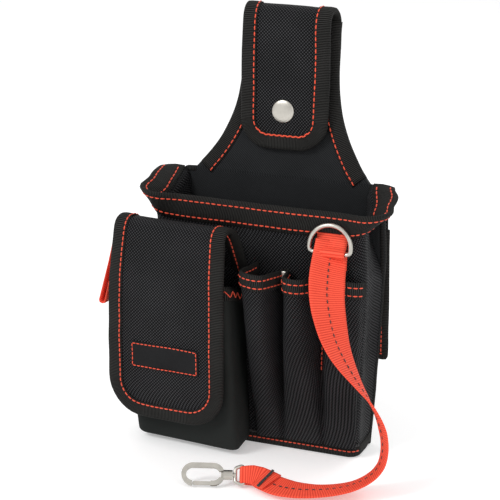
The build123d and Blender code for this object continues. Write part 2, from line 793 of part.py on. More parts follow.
with BuildPart() as hook_gate:
    with BuildSketch(HOOK):
        with Locations(((GATE_X + GATE_FAR) / 2 - 0.7, GATE_Y)):
            SlotOverall(GATE_FAR - GATE_X + 0.9, 2.3)
        with Locations((GATE_X, GATE_Y)):
            Circle(0.8, mode=Mode.SUBTRACT)
    extrude(amount=0.8, both=True)
hook_gate.part.label = "hook_gate"

with BuildPart() as gate_spring:
    with BuildSketch(HOOK):
        with Locations((GATE_X - 2.6, GATE_Y)):
            Circle(0.6)
    extrude(amount=1.1, both=True)
gate_spring.part.label = "gate_spring"

# ---------------------------------------------------------------- lanyard
LANYARD_TUBE_R = 1.1
LOOP_BACK = 8.0               # length of the end loop's plies behind the eye's bar
LOOP_PLY = 1.2                # thickness of one ply of the end loop
LANYARD_ROUTE = [
    (BODY_X + x, BODY_Y + y, z)
    for x, y, z in (
        (50.0, -22.6, 153.5),
        (49.6, -23.4, 143.0),
        (50.0, -29.5, 133.5),
        (53.0, -38.5, 120.5),
        (57.6, -46.0, 106.0),
        (62.8, -51.0, 92.5),
        (71.0, -55.0, 81.0),
        (82.0, -58.0, 69.5),
        (92.0, -60.5, 58.0),
        (98.5, -62.0, 44.5),
        (101.0, -63.5, 30.0),
        (98.0, -66.0, 17.0),
        (89.0, -70.5, 8.0),
        (75.5, -79.0, 4.6),
        (60.5, -86.5, 4.4),
        (46.0, -90.0, 4.8),
        (34.0, -89.4, 6.0),
    )
]
LOOP_START = HOOK.from_local_coords((EYE_BAR_X - LOOP_BACK, 0, 0))
route = [Vector(*point) for point in LANYARD_ROUTE] + [LOOP_START]


def arc_radii(points):
    """Radius of the tangent arc at each inner point of a route."""
    radii = []
    for before, here, after in zip(points, points[1:], points[2:]):
        turned = radians((here - before).get_angle(after - here))
        radii.append(0.45 * min((here - before).length, (after - here).length) / tan(turned / 2))
    return radii


with BuildPart() as lanyard:
    with BuildLine() as lanyard_path:
        FilletPolyline(*route, radius=arc_radii(route))
    with BuildSketch(Plane(origin=lanyard_path.line @ 0, z_dir=lanyard_path.line % 0)):
        Circle(LANYARD_TUBE_R)
    sweep()
lanyard.part.label = "lanyard"
lanyard_length = sum(edge.length for edge in lanyard_path.edges())
print("lanyard length", round(lanyard_length, 1), "mm")
print("lanyard radii", [round(radius, 1) for radius in arc_radii(route)])
tube_volume = pi * LANYARD_TUBE_R**2 * lanyard_length
print("lanyard volume ratio", round(lanyard.part.volume / tube_volume, 4))

END_W = 8.4
END_R = EYE_WIRE + 0.05
with BuildPart() as lanyard_end_loop:
    with BuildSketch(Plane(origin=HOOK.origin, x_dir=HOOK.x_dir, z_dir=HOOK.y_dir)):
        with Locations((EYE_BAR_X, 0)):
            Circle(END_R + LOOP_PLY)
        with Locations((EYE_BAR_X - LOOP_BACK / 2, 0)):
            Rectangle(LOOP_BACK, 2 * LOOP_PLY)
        with Locations((EYE_BAR_X, 0)):
            Circle(END_R, mode=Mode.SUBTRACT)
    extrude(amount=END_W / 2, both=True)
    add(lanyard.part, mode=Mode.SUBTRACT)
lanyard_end_loop.part.label = "lanyard_end_loop"

TACK_AT = route[-2]
TACK_FACE = Plane(
    origin=TACK_AT + Vector(2, 0, LANYARD_TUBE_R - 0.3), x_dir=route[-2] - route[-3], z_dir=(0, 0, 1)
)
with BuildPart() as lanyard_bartack:
    with BuildSketch(TACK_FACE):
        Rectangle(4.5, 13)
    extrude(amount=2.2)
    add(lanyard.part, mode=Mode.SUBTRACT)
lanyard_bartack.part.label = "lanyard_bartack"

# ---------------------------------------------------------------- webbing tabs and the ring
SIDE_TAB_Y = -46.0
with BuildPart() as side_tab:
    with BuildSketch(FRONT.offset(-SIDE_TAB_Y)):
        with BuildLine() as fold:
            FilletPolyline((-91.2, 137), (-101.5, 96), (-105.5, 97), (-94.6, 138), radius=2.0)
        trace(fold.line, line_width=WEBBING_T)
    extrude(amount=-WEBBING)
side_tab.part.label = "side_tab"

RING_X = 50.0
RING_BAR_Y = -27.6
RING_BAR_Z = 146.0
RING_WIRE = 1.5
RING_HALF = 14.2
RING_HIGH = 18.4
RING_LEAN = 4.0
RING_CORNER = 3.0
RING_FACE = Plane(
    origin=(BODY_X + RING_X, BODY_Y + RING_BAR_Y, RING_BAR_Z),
    x_dir=(1, 0, 0),
    z_dir=(0, -cos(radians(RING_LEAN)), sin(radians(RING_LEAN))),
)
with BuildPart() as d_ring:
    with BuildLine(RING_FACE) as loop:
        Line((0, 0), (RING_HALF - RING_CORNER, 0))
        RadiusArc((RING_HALF - RING_CORNER, 0), (RING_HALF, RING_CORNER), -RING_CORNER)
        Line((RING_HALF, RING_CORNER), (RING_HALF, RING_HIGH - RING_HALF))
        ThreePointArc(
            (RING_HALF, RING_HIGH - RING_HALF), (0, RING_HIGH), (-RING_HALF, RING_HIGH - RING_HALF)
        )
        Line((-RING_HALF, RING_HIGH - RING_HALF), (-RING_HALF, RING_CORNER))
        RadiusArc((-RING_HALF, RING_CORNER), (-RING_HALF + RING_CORNER, 0), -RING_CORNER)
        Line((-RING_HALF + RING_CORNER, 0), (0, 0))
    with BuildSketch(Plane(origin=loop.line @ 0, z_dir=loop.line % 0)):
        Circle(RING_WIRE)
    sweep()
d_ring.part.label = "d_ring"

RING_TAB_W = 21.0
LOOP_R = RING_WIRE + 0.05
TAB_TOP = RIM_FRONT_Z - RIM_TAPE_H
with BuildPart() as ring_tab:
    with BuildSketch(SIDE.offset(RING_X)):
        with Locations((RING_BAR_Y, RING_BAR_Z)):
            Circle(LOOP_R + WEBBING_T)
        with BuildLine():
            Polyline(
                (RING_BAR_Y - LOOP_R - WEBBING_T, RING_BAR_Z),
                (front_y(TAB_TOP) - 2.9, TAB_TOP),
                (front_y(TAB_TOP), TAB_TOP),
                (RING_BAR_Y + LOOP_R + WEBBING_T, RING_BAR_Z),
                close=True,
            )
        make_face()
        with Locations((RING_BAR_Y, RING_BAR_Z)):
            Circle(LOOP_R, mode=Mode.SUBTRACT)
    extrude(amount=RING_TAB_W / 2, both=True)
    extrude(behind_front(), amount=REACH, both=True, mode=Mode.SUBTRACT)
    add(lanyard.part, mode=Mode.SUBTRACT)
ring_tab.part.label = "ring_tab"

# ---------------------------------------------------------------- rear tab
REAR_X0, REAR_X1 = 30.0, 78.0
REAR_Z0, REAR_Z1 = 62.0, 154.0
REAR_Y = BACK_FACE + 1.3
REAR_T = 1.6
REAR_BINDING = 8.0
REAR_SEWN = 9.0               # height of the strip that is sewn to the back wall


def rear_outline(grow, z_high):
    """Outline of the tab behind the bag."""
    return polygon(
        FRONT,
        [
            (REAR_X0 - grow, z_high),
            (REAR_X0 - grow, REAR_Z0 - grow),
            (REAR_X1 + grow, REAR_Z0 - grow),
            (REAR_X1 - 2 + grow, z_high),
        ],
    )


def rear_layer(near, far):
    """Side profile of a layer behind the back wall, between two values of y."""
    return polygon(SIDE, [(near, 0), (near, REACH), (far, REACH), (far, 0)])


with BuildPart() as rear_tab:
    extrude(rear_layer(REAR_Y, REAR_Y + REAR_T), amount=REACH)
    extrude(rear_outline(0, REAR_Z1), amount=REACH, both=True, mode=Mode.INTERSECT)
rear_tab.part.label = "rear_tab"

with BuildPart() as rear_tab_binding:
    extrude(rear_layer(REAR_Y - TAPE, REAR_Y + REAR_T + TAPE), amount=REACH)
    extrude(rear_outline(TAPE, REAR_Z1), amount=REACH, both=True, mode=Mode.INTERSECT)
    extrude(rear_outline(-REAR_BINDING, REAR_Z1 + 1), amount=REACH, both=True, mode=Mode.SUBTRACT)
    add(rear_tab.part, mode=Mode.SUBTRACT)
rear_tab_binding.part.label = "rear_tab_binding"

with BuildPart() as rear_tab_anchor:
    extrude(
        polygon(
            SIDE,
            [
                (BACK_FACE, REAR_Z1 + JOINT_GAP),
                (BACK_FACE, REAR_Z1 + REAR_SEWN),
                (REAR_Y + REAR_T, REAR_Z1 + REAR_SEWN),
                (REAR_Y + REAR_T, REAR_Z1 + JOINT_GAP),
            ],
        ),
        amount=REAR_X1 - 2,
    )
    beside = polygon(FRONT, [(0, 0), (REAR_X0, 0), (REAR_X0, REACH), (0, REACH)])
    extrude(beside, amount=REACH, both=True, mode=Mode.SUBTRACT)
rear_tab_anchor.part.label = "rear_tab_anchor"

# ---------------------------------------------------------------- write every piece
pieces = [
    back_panel, back_stiffener, back_lining, yoke_binding_left, yoke_binding_right, neck_fold,
    belt_tongue, belt_tongue_binding, snap_cap, snap_socket, snap_stud, snap_rivet,
    front_panel, gusset_left, gusset_right, bottom_panel, bottom_cover, rim_tape,
    pocket_rivet, *tool_pockets, *tool_pocket_tapes,
    phone_pocket, phone_pocket_tape, phone_flap, phone_flap_binding, phone_flap_root,
    label_patch, flap_hook_patch, flap_loop_patch,
    side_tab, d_ring, ring_tab, rear_tab, rear_tab_binding, rear_tab_anchor,
    swivel_eye, hook_body, gate_pin, hook_gate, gate_spring,
    lanyard, lanyard_end_loop, lanyard_bartack,
]
for piece in pieces:
    export_step(piece.part, f"parts/{piece.part.label}.step")
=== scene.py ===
import math

import bmesh
import bpy
from mathutils import Matrix, Vector, noise


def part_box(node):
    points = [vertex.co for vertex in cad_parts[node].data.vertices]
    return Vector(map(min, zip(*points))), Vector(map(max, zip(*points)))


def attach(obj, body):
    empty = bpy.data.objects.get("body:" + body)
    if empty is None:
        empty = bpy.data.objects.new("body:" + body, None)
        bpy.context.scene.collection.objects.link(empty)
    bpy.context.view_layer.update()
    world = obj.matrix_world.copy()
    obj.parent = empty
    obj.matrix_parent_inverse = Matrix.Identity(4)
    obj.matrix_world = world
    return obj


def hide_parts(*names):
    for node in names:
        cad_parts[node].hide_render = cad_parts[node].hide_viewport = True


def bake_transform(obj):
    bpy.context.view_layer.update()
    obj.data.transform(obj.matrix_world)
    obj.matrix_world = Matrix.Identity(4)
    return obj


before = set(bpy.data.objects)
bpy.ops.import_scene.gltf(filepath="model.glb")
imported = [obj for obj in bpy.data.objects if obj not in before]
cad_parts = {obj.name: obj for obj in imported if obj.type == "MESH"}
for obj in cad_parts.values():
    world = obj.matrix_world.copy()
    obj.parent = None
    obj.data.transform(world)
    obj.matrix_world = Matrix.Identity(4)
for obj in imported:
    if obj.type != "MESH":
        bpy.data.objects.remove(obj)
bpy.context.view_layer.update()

# --- units and the bag's own axes
MM = 0.001
FOLD_LOW, FOLD_HIGH = (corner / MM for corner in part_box("neck_fold"))
BACK_FACE = 20.0                # y of the bag's back face, in the bag's own axes
BAG_ORIGIN = Vector(((FOLD_LOW.x + FOLD_HIGH.x) / 2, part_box("bottom_cover")[1].y / MM - BACK_FACE, 0.0))

# --- sizes in millimetres
CLOTH = 1.6                     # woven cloth with its lining
TAPE = 0.8                      # one ply of binding tape
BINDING = 10.6                  # width of the binding on an edge
SEAM_IN = 9.0                   # from an edge to the seam that holds its binding
ON_TAPE = TAPE + 0.12           # from the cloth's face to a stitch on its binding
THREAD = 0.45                   # radius of a stitch
STITCH = 3.0                    # length of a stitch
STITCH_PITCH = 4.0
WALL = 4.4                      # the back wall: cloth, board and lining
BEND_Z = 182.0                  # the yoke leans back above this height
LEAN = math.radians(8.5)

HALF_BOTTOM = 70.0              # half width of the bag on the floor
HALF_TOP = 76.0                 # and at the height where its mouth begins to flare
FLARE_Z = 157.0
FRONT_LOW = -12.5               # y of the bag's front on the floor
FRONT_HIGH = -22.5              # and at its rim
RIM_Z = 172.0
RIM_TAPE = 17.0                 # width of the rim's tape on each face
FRONT_DRIFT = -2.6              # the front hangs a little to the left of the back at the mouth

NECK_HALF = 33.4
YOKE_R = 108.0                  # radius of the yoke's concave sides
YOKE_ARC_Z = 257.0              # where they run out into the neck
WALL_TOP = 73.2                 # half width of the back wall where the yoke begins
NECK_TOP = FOLD_LOW.z
FOLD_R = 9.45                   # outer radius of the strap's turn over the neck

TONGUE_HALF = 30.6
TONGUE_LOW_Z = 202.3
TONGUE_CORNER = 19.5

FLAP_HALF = 42.8
FLAP_LONG = 130.0
FLAP_T = 2.4
FLAP_CORNER = 26.0
WEBBING = 25.0
WEBBING_T = 1.4

EYE_BAR = (26.06, -76.59, 7.6)  # middle of the swivel eye's bar
EYE_HEADING = (-0.93606, -0.35184, 0.0)
EYE_BAR_WAY = (-0.226159, 0.601687, 0.766044)
BAR_R = 2.15                    # from the bar's middle to the middle of the webbing round it
FOLD_SPANS = 11                 # steps of the lanyard's line that its turned end covers
DRIFT_SEED = 1794834912         # picks the cloth's hand-made unevenness
HOOK_NODES = ("swivel_eye", "hook_body", "hook_gate", "gate_pin", "gate_spring")


# --- camera, lights and floor
def camera():
    """Stands at the photograph's angle, a little to the right of the pouch and above it."""
    target = Vector((0.74, -8.93, 139.25)) * MM
    distance, azimuth, elevation, roll = 1.2, math.radians(20.35), math.radians(15.34), math.radians(1.63)
    back = Vector((
        math.sin(azimuth) * math.cos(elevation),
        -math.cos(azimuth) * math.cos(elevation),
        math.sin(elevation),
    ))
    level = Vector((0, 0, 1)).cross(back).normalized()
    upright = back.cross(level)
    right = level * math.cos(roll) + upright * math.sin(roll)
    up = upright * math.cos(roll) - level * math.sin(roll)
    data = bpy.data.cameras.new("camera")
    data.sensor_width = 36.0
    data.lens = 129.46
    data.clip_end = 50.0
    stand = bpy.data.objects.new("camera", data)
    axes = Matrix((right, up, back)).transposed().to_4x4()
    stand.matrix_world = Matrix.Translation(target + back * distance) @ axes
    bpy.context.scene.collection.objects.link(stand)
    bpy.context.scene.camera = stand


def area_light(name, place, aim, size, power):
    data = bpy.data.lights.new(name, "AREA")
    data.shape = "DISK"
    data.size = size
    data.energy = power
    lamp = bpy.data.objects.new(name, data)
    lamp.location = place
    lamp.rotation_euler = (Vector(aim) - Vector(place)).to_track_quat("-Z", "Y").to_euler()
    bpy.context.scene.collection.objects.link(lamp)


def studio():
    """Soft light from both sides and above, over a plain pale floor."""
    world = bpy.data.worlds.new("studio")
    world.use_nodes = True
    sky = world.node_tree.nodes["Background"]
    sky.inputs["Color"].default_value = (1.0, 1.0, 1.0, 1.0)
    sky.inputs["Strength"].default_value = 0.8
    bpy.context.scene.world = world
    area_light("key_light", (-0.75, -1.3, 1.25), (0, 0, 0.13), 0.6, 15.0)
    area_light("fill_light", (1.2, -1.0, 0.7), (0, 0, 0.12), 0.9, 3.0)
    area_light("back_light", (0.5, 1.3, 1.2), (0, 0, 0.15), 0.8, 6.0)
    bpy.context.scene.view_settings.view_transform = "Standard"
    floor = bpy.data.meshes.new("floor")
    reach = 12.0
    corners = [(-reach, -reach, 0), (reach, -reach, 0), (reach, reach, 0), (-reach, reach, 0)]
    floor.from_pydata(corners, [], [(0, 1, 2, 3)])
    plane = bpy.data.objects.new("floor", floor)
    bpy.context.scene.collection.objects.link(plane)
    paint = bpy.data.materials.new("floor_paint")
    paint.use_nodes = True
    shader = paint.node_tree.nodes["Principled BSDF"]
    shader.inputs["Base Color"].default_value = (0.8, 0.8, 0.8, 1)
    shader.inputs["Roughness"].default_value = 0.9
    shader.inputs["Emission Color"].default_value = (1.0, 1.0, 1.0, 1)
    shader.inputs["Emission Strength"].default_value = 0.32
    floor.materials.append(paint)


# --- materials
class Finish:
    """A procedural material whose pattern is drawn in the surface's own lengths."""

    def __init__(self, name, roughness, metallic=0.0, sheen=0.0, specular=0.5):
        self.material = bpy.data.materials.new(name)
        self.material.use_nodes = True
        self.tree = self.material.node_tree
        self.shader = self.tree.nodes["Principled BSDF"]
        self.shader.inputs["Roughness"].default_value = roughness
        self.shader.inputs["Metallic"].default_value = metallic
        self.shader.inputs["Sheen Weight"].default_value = sheen
        self.shader.inputs["Sheen Roughness"].default_value = 0.5
        self.shader.inputs["Specular IOR Level"].default_value = specular

    def node(self, kind, **settings):
        node = self.tree.nodes.new(kind)
        for key, value in settings.items():
            setattr(node, key, value)
        return node

    def feed(self, socket, value):
        if hasattr(value, "is_linked"):
            self.tree.links.new(value, socket)
        else:
            socket.default_value = value

    def math(self, operation, *values):
        node = self.node("ShaderNodeMath", operation=operation)
        for socket, value in zip(node.inputs, values):
            self.feed(socket, value)
        return node.outputs[0]

    def lengths(self, turn=0.0, pitch=1.0):
        """The surface's own two lengths, turned, in steps of a pitch in millimetres."""
        place = self.node("ShaderNodeUVMap", uv_map="UVMap")
        mapping = self.node("ShaderNodeMapping")
        mapping.inputs["Rotation"].default_value = (0, 0, turn)
        mapping.inputs["Scale"].default_value = (1 / (pitch * MM),) * 3
        self.feed(mapping.inputs["Vector"], place.outputs["UV"])
        parts = self.node("ShaderNodeSeparateXYZ")
        self.feed(parts.inputs[0], mapping.outputs["Vector"])
        return parts.outputs["X"], parts.outputs["Y"]

    def hump(self, value):
        """A row of round humps, one to each whole step of the value."""
        return self.math("SINE", self.math("MULTIPLY", self.math("FRACT", value), math.pi))

    def weave(self, across, along):
        """Threads that pass over and under each other, as a height from 0 to 1."""
        steps = self.math("ADD", self.math("FLOOR", across), self.math("FLOOR", along))
        over = self.math("FLOORED_MODULO", steps, 2.0)
        warp, weft = self.hump(across), self.hump(along)
        lift_warp = self.math("MULTIPLY", warp, self.math("MULTIPLY_ADD", weft, 0.5, 0.5))
        lift_weft = self.math("MULTIPLY", weft, self.math("MULTIPLY_ADD", warp, 0.5, 0.5))
        top = self.math("MULTIPLY", over, lift_warp)
        under = self.math("MULTIPLY", self.math("SUBTRACT", 1.0, over), lift_weft)
        return self.math("ADD", top, under)

    def cloudy(self, size, detail=2.0):
        """Slow variation over the object, from 0 to 1."""
        place = self.node("ShaderNodeTexCoord")
        clouds = self.node("ShaderNodeTexNoise")
        clouds.inputs["Scale"].default_value = 1 / (size * MM)
        clouds.inputs["Detail"].default_value = detail
        self.feed(clouds.inputs["Vector"], place.outputs["Object"])
        return clouds.outputs["Fac"]

    def clouded(self, value, share, size, rest):
        """A share of the value, and of slow variation over the object."""
        return self.math("MULTIPLY_ADD", value, share, self.math("MULTIPLY", self.cloudy(size), rest))

    def colour(self, stops, value):
        """The surface's colour, by a ramp of (position, colour) stops over the value."""
        ramp = self.node("ShaderNodeValToRGB")
        while len(ramp.color_ramp.elements) < len(stops):
            ramp.color_ramp.elements.new(0.5)
        for element, (position, shade) in zip(ramp.color_ramp.elements, stops):
            element.position = position
            element.color = (*shade, 1.0)
        self.feed(ramp.inputs["Fac"], value)
        self.feed(self.shader.inputs["Base Color"], ramp.outputs["Color"])

    def bump(self, height, depth):
        node = self.node("ShaderNodeBump")
        node.inputs["Distance"].default_value = depth * MM
        self.feed(node.inputs["Height"], height)
        self.feed(self.shader.inputs["Normal"], node.outputs["Normal"])

    def shine(self, low, high, value):
        """Roughness that follows the value, from low to high."""
        scale = self.node("ShaderNodeMapRange")
        scale.inputs["To Min"].default_value = low
        scale.inputs["To Max"].default_value = high
        self.feed(scale.inputs["Value"], value)
        self.feed(self.shader.inputs["Roughness"], scale.outputs["Result"])


def woven_finish(name, pitch, turn, dark, light, depth, rough=(0.42, 0.75)):
    finish = Finish(name, 0.6, specular=0.1)
    height = finish.weave(*finish.lengths(turn, pitch))
    # Colour follows the threads' height: painted shade in the gaps between threads and a painted highlight on
    # their crowns, over some slow random tone.
    finish.colour([(0.46, dark), (1.0, light)], finish.clouded(height, 0.85, 30, 0.2))
    finish.bump(height, depth)
    finish.shine(rough[1], rough[0], height)
    return finish.material


def ribbed_finish(name, pitch, dark, light, depth, specular=0.07, threads=0.45):
    """Ribs that run across a tape, a pitch apart, crossed by fine threads."""
    finish = Finish(name, 0.7, specular=specular)
    across, along = finish.lengths(0.0, pitch)
    rib = finish.hump(along)
    fine = finish.hump(finish.math("MULTIPLY", across, 1 / threads))
    height = finish.math("MULTIPLY_ADD", rib, 0.8, finish.math("MULTIPLY", fine, 0.2))
    # Colour follows the ribs' height: painted shade in the valleys and a painted highlight on the rib crowns,
    # over some slow random tone.
    finish.colour([(0.35, dark), (1.0, light)], finish.clouded(height, 0.85, 22, 0.2))
    finish.bump(height, depth)
    finish.shine(0.8, 0.6, height)
    return finish.material


def knit_finish():
    finish = Finish("stretch_knit", 0.85, specular=0.1)
    across, along = finish.lengths(0.0, 0.55)
    height = finish.math("MULTIPLY", finish.hump(across), finish.hump(along))
    # The loops' crowns are painted lighter than their hollows (painted highlight and shade), over mostly slow
    # random tone.
    shades = [(0.2, (0.011, 0.0125, 0.012)), (0.9, (0.026, 0.0285, 0.027))]
    finish.colour(shades, finish.clouded(height, 0.3, 45, 0.7))
    finish.bump(height, 0.06)
    return finish.material


def thread_finish(name, dark, light):
    """Twisted thread, with a painted highlight on the crown of each strand."""
    finish = Finish(name, 0.5, sheen=0.1)
    strand = finish.hump(finish.lengths(math.radians(35), 0.45)[1])
    # Colour follows each strand's height: painted highlight on its crown, painted shade between strands, over
    # slow random tone.
    finish.colour([(0.1, dark), (0.9, light)], finish.clouded(strand, 0.7, 9, 0.3))
    finish.bump(strand, 0.08)
    return finish.material


def rubber_finish():
    finish = Finish("label_rubber", 0.55, specular=0.12)
    grain = finish.cloudy(0.5, 3.0)
    finish.colour([(0.2, (0.005, 0.005, 0.0055)), (0.9, (0.011, 0.011, 0.012))], finish.cloudy(12))
    finish.bump(grain, 0.05)
    finish.shine(0.45, 0.65, grain)
    return finish.material


def metal_finish(name, shade, low, high):
    """Satin nickel with fine brushing and dull patches."""
    finish = Finish(name, 0.3, metallic=1.0)
    patches = finish.cloudy(6.0, 3.0)
    grain = finish.cloudy(0.25, 2.0)
    darker = tuple(channel * 0.86 for channel in shade)
    finish.colour([(0.3, darker), (0.75, shade)], patches)
    finish.shine(low, high, patches)
    finish.bump(grain, 0.012)
    return finish.material


def hook_and_loop_finish():
    finish = Finish("hook_and_loop", 0.95, sheen=0.2)
    cells = finish.cloudy(0.7, 2.0)
    finish.colour([(0.3, (0.006, 0.006, 0.006)), (0.7, (0.022, 0.022, 0.023))], cells)
    finish.bump(cells, 0.6)
    return finish.material


# In the weave, lining, tape, webbing and thread colours below, the darker colour is painted shade in the
# hollows and the lighter one a painted highlight on the crowns.
WEAVE = woven_finish(
    "ballistic_weave", 1.6, math.radians(45), (0.0008, 0.0008, 0.001), (0.056, 0.056, 0.06), 0.7)
LINING = woven_finish(
    "plain_lining", 0.85, math.radians(28), (0.004, 0.0045, 0.005), (0.042, 0.044, 0.047), 0.16, (0.62, 0.82))
RIBBED = ribbed_finish("binding_tape", 1.1, (0.0008, 0.0008, 0.0008), (0.040, 0.039, 0.037), 0.5)
KNIT = knit_finish()
WEB_ORANGE = ribbed_finish("orange_webbing", 1.5, (0.64, 0.047, 0.025), (0.98, 0.122, 0.068), 0.16, 0.12, 0.3)
ORANGE_THREAD = thread_finish("orange_thread", (0.60, 0.038, 0.012), (0.92, 0.095, 0.032))
BLACK_THREAD = thread_finish("black_thread", (0.005, 0.005, 0.005), (0.03, 0.03, 0.03))
RUBBER = rubber_finish()
NICKEL = metal_finish("satin_nickel", (0.56, 0.535, 0.485), 0.3, 0.45)
HOOK_LOOP = hook_and_loop_finish()


# --- meshes
def in_frame(x, y, z):
    """A point from the bag's own axes, in the row frame."""
    return BAG_ORIGIN + Vector((x, y, z))


def running(points):
    """Distances along a line of points."""
    total = [0.0]
    for first, second in zip(points, points[1:]):
        total.append(total[-1] + (second - first).length)
    return total


def easy(value):
    value = min(1.0, max(0.0, value))
    return value * value * (3 - 2 * value)


def mix(low, high, share):
    return low + (high - low) * share


def spread(low, high, count):
    """Evenly spaced numbers from low to high, both included."""
    return [mix(low, high, k / count) for k in range(count + 1)]


def heading(points, i):
    """Which way a line of points runs at one of them."""
    return (points[min(i + 1, len(points) - 1)] - points[max(i - 1, 0)]).normalized()


noise.seed_set(DRIFT_SEED)


def uneven(point):
    """Hand-made unevenness: the same small drift for all cloth that lies together."""
    slow = noise.noise_vector(point / 38.0) * 0.75
    quick = noise.noise_vector(point / 13.0 + Vector((7, 3, 5))) * 0.22
    return point + (slow + quick) * min(1.0, max(0.0, point.z / 12.0))


def finished(name, points, faces, uvs, material, body, replaced=(), soft=True):
    """Makes a mesh object from points in millimetres, and hands it to its body."""
    if soft:
        points = [uneven(point) for point in points]
    mesh = bpy.data.meshes.new(name)
    mesh.from_pydata([point * MM for point in points], [], faces)
    layer = mesh.uv_layers.new(name="UVMap")
    for polygon in mesh.polygons:
        for index, corner in enumerate(polygon.loop_indices):
            layer.data[corner].uv = uvs[polygon.index][index]
        polygon.use_smooth = True
    shape = bmesh.new()
    shape.from_mesh(mesh)
    bmesh.ops.recalc_face_normals(shape, faces=shape.faces)
    shape.to_mesh(mesh)
    shape.free()
    mesh.materials.append(material)
    piece = bpy.data.objects.new(name, mesh)
    bpy.context.scene.collection.objects.link(piece)
    if body:
        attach(piece, body)
    if replaced:
        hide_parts(*replaced)
    return piece


def loft_faces(rows, start=0):
    """Faces and UVs of closed loops joined in turn, capped at both ends by strips."""
    count = len(rows[0])
    faces, uvs = [], []
    around = [[length * MM for length in running(row + row[:1])] for row in rows]
    middle = count // 4
    along = [length * MM for length in running([row[middle] for row in rows])]
    for i in range(len(rows) - 1):
        for j in range(count):
            after = (j + 1) % count
            faces.append((
                start + i * count + j,
                start + i * count + after,
                start + (i + 1) * count + after,
                start + (i + 1) * count + j,
            ))
            uvs.append((
                (around[i][j], along[i]),
                (around[i][j + 1], along[i]),
                (around[i + 1][j + 1], along[i + 1]),
                (around[i + 1][j], along[i + 1]),
            ))
    for i in (0, len(rows) - 1):
        for j in range(count // 2 - 1):
            far = count - 1 - j
            faces.append(tuple(start + i * count + k for k in (j, j + 1, far - 1, far)))
            uvs.append((
                (around[i][j], along[i]),
                (around[i][j + 1], along[i]),
                (around[i][j + 1], along[i] + MM),
                (around[i][j], along[i] + MM),
            ))
    return faces, uvs


def loft(name, rows, material, body, replaced=(), soft=True):
    """A closed body through loops of points; each loop goes out along one side and back along the other."""
    faces, uvs = loft_faces(rows)
    points = [point for row in rows for point in row]
    return finished(name, points, faces, uvs, material, body, replaced, soft)


class Sheet:
    """A cloth's middle surface: a place for each pair of lengths, and its outward side.

    The first length may be a share of the way round; unit is then the share taken for a millimetre.
    """

    def __init__(self, place, side=1.0, unit=1.0):
        self.place = place
        self.side = side
        self.unit = unit

    def at(self, across, along, height=0.0):
        spot = self.place(across, along)
        return spot + self.normal(across, along) * height if height else spot

    def normal(self, across, along):
        step = 0.35
        aside = step * self.unit
        run = self.place(across + aside, along) - self.place(across - aside, along)
        rise = self.place(across, along + step) - self.place(across, along - step)
        return run.cross(rise).normalized() * self.side


def loop_on(sheet, spots, high, low):
    """A closed loop, out along one face of a sheet and back along the other."""
    return [sheet.at(*spot, high) for spot in spots] + [sheet.at(*spot, low) for spot in spots[::-1]]


def panel(name, sheet, spans, columns, low, high, material, body, replaced=(), soft=True):
    """Cloth between two edges: spans are (along, left, right), low and high its two faces."""
    rows = []
    for along, left, right in spans:
        rows.append(loop_on(sheet, [(across, along) for across in spread(left, right, columns)], high, low))
    return loft(name, rows, material, body, replaced, soft)


def binding(name, sheet, path, half, front, back, material, body, replaced=(), tape=TAPE):
    """Tape folded over an edge: path is a list of (point on the edge, way in)."""
    outer = [
        (front, half + 0.03),
        (front - 0.25, half + tape),
        (front * 0.62, half + tape + 0.18),
        (front * 0.28, half + tape + 0.22),
        (0.5, half + tape * 0.8),
        (-0.45, half * 0.55 + 0.2),
        (-0.62, 0.0),
        (-0.45, -half * 0.55 - 0.2),
        (0.5, -half - tape * 0.8),
        (back * 0.28, -half - tape - 0.2),
        (back * 0.62, -half - tape - 0.15),
        (back - 0.25, -half - tape),
        (back, -half - 0.03),
    ]
    inner = [(max(inward - 0.3, 0.1), min(max(h, -half - 0.02), half + 0.02)) for inward, h in outer]
    rows = []
    for (across, along), (in_across, in_along) in path:
        loop = []
        for inward, h in outer + inner[::-1]:
            loop.append(sheet.at(across + in_across * inward, along + in_along * inward, h))
        rows.append(loop)
    return loft(name, rows, material, body, replaced)


def stitch_points(start, end, lift, radius):
    """One stitch as loops: it dips into the cloth at both ends."""
    way = end - start
    side = way.cross(lift).normalized()
    rows = []
    for share, size in ((0.0, 0.35), (0.1, 0.85), (0.35, 1.05), (0.65, 1.05), (0.9, 0.85), (1.0, 0.35)):
        rise = 0.55 * math.sin(math.pi * share) - 0.2
        centre = start + way * share + lift * (radius * rise)
        turns = spread(0.0, 2 * math.pi, 6)[:-1]
        rows.append([centre + (side * math.cos(t) + lift * math.sin(t)) * radius * size for t in turns])
    return rows


def stitches(name, lines, body, material=ORANGE_THREAD, pitch=STITCH_PITCH, length=STITCH, radius=THREAD):
    """Rows of stitches: each line is a list of (point, lift), point to point along the seam."""
    points, faces, uvs = [], [], []
    for line in lines:
        far = running([point for point, lift in line])
        count = max(1, round(far[-1] / pitch))
        for k in range(count):
            ends = []
            for share in (k + 0.5 - length / pitch / 2, k + 0.5 + length / pitch / 2):
                ends.append(along_line(line, far, share / count * far[-1]))
            lift = (ends[0][1] + ends[1][1]).normalized()
            rows = stitch_points(ends[0][0], ends[1][0], lift, radius)
            new_faces, new_uvs = loft_faces(rows, len(points))
            points += [point for row in rows for point in row]
            faces += new_faces
            uvs += new_uvs
    return finished(name, points, faces, uvs, material, body)


def step_at(far, distance):
    """The step of a line that a distance falls in, and how much of the step lies before it."""
    for i in range(1, len(far)):
        if distance <= far[i] or i == len(far) - 1:
            return i, (distance - far[i - 1]) / max(far[i] - far[i - 1], 1e-6)


def along_line(line, far, distance):
    i, share = step_at(far, distance)
    return [before.lerp(after, share) for before, after in zip(line[i - 1], line[i])]


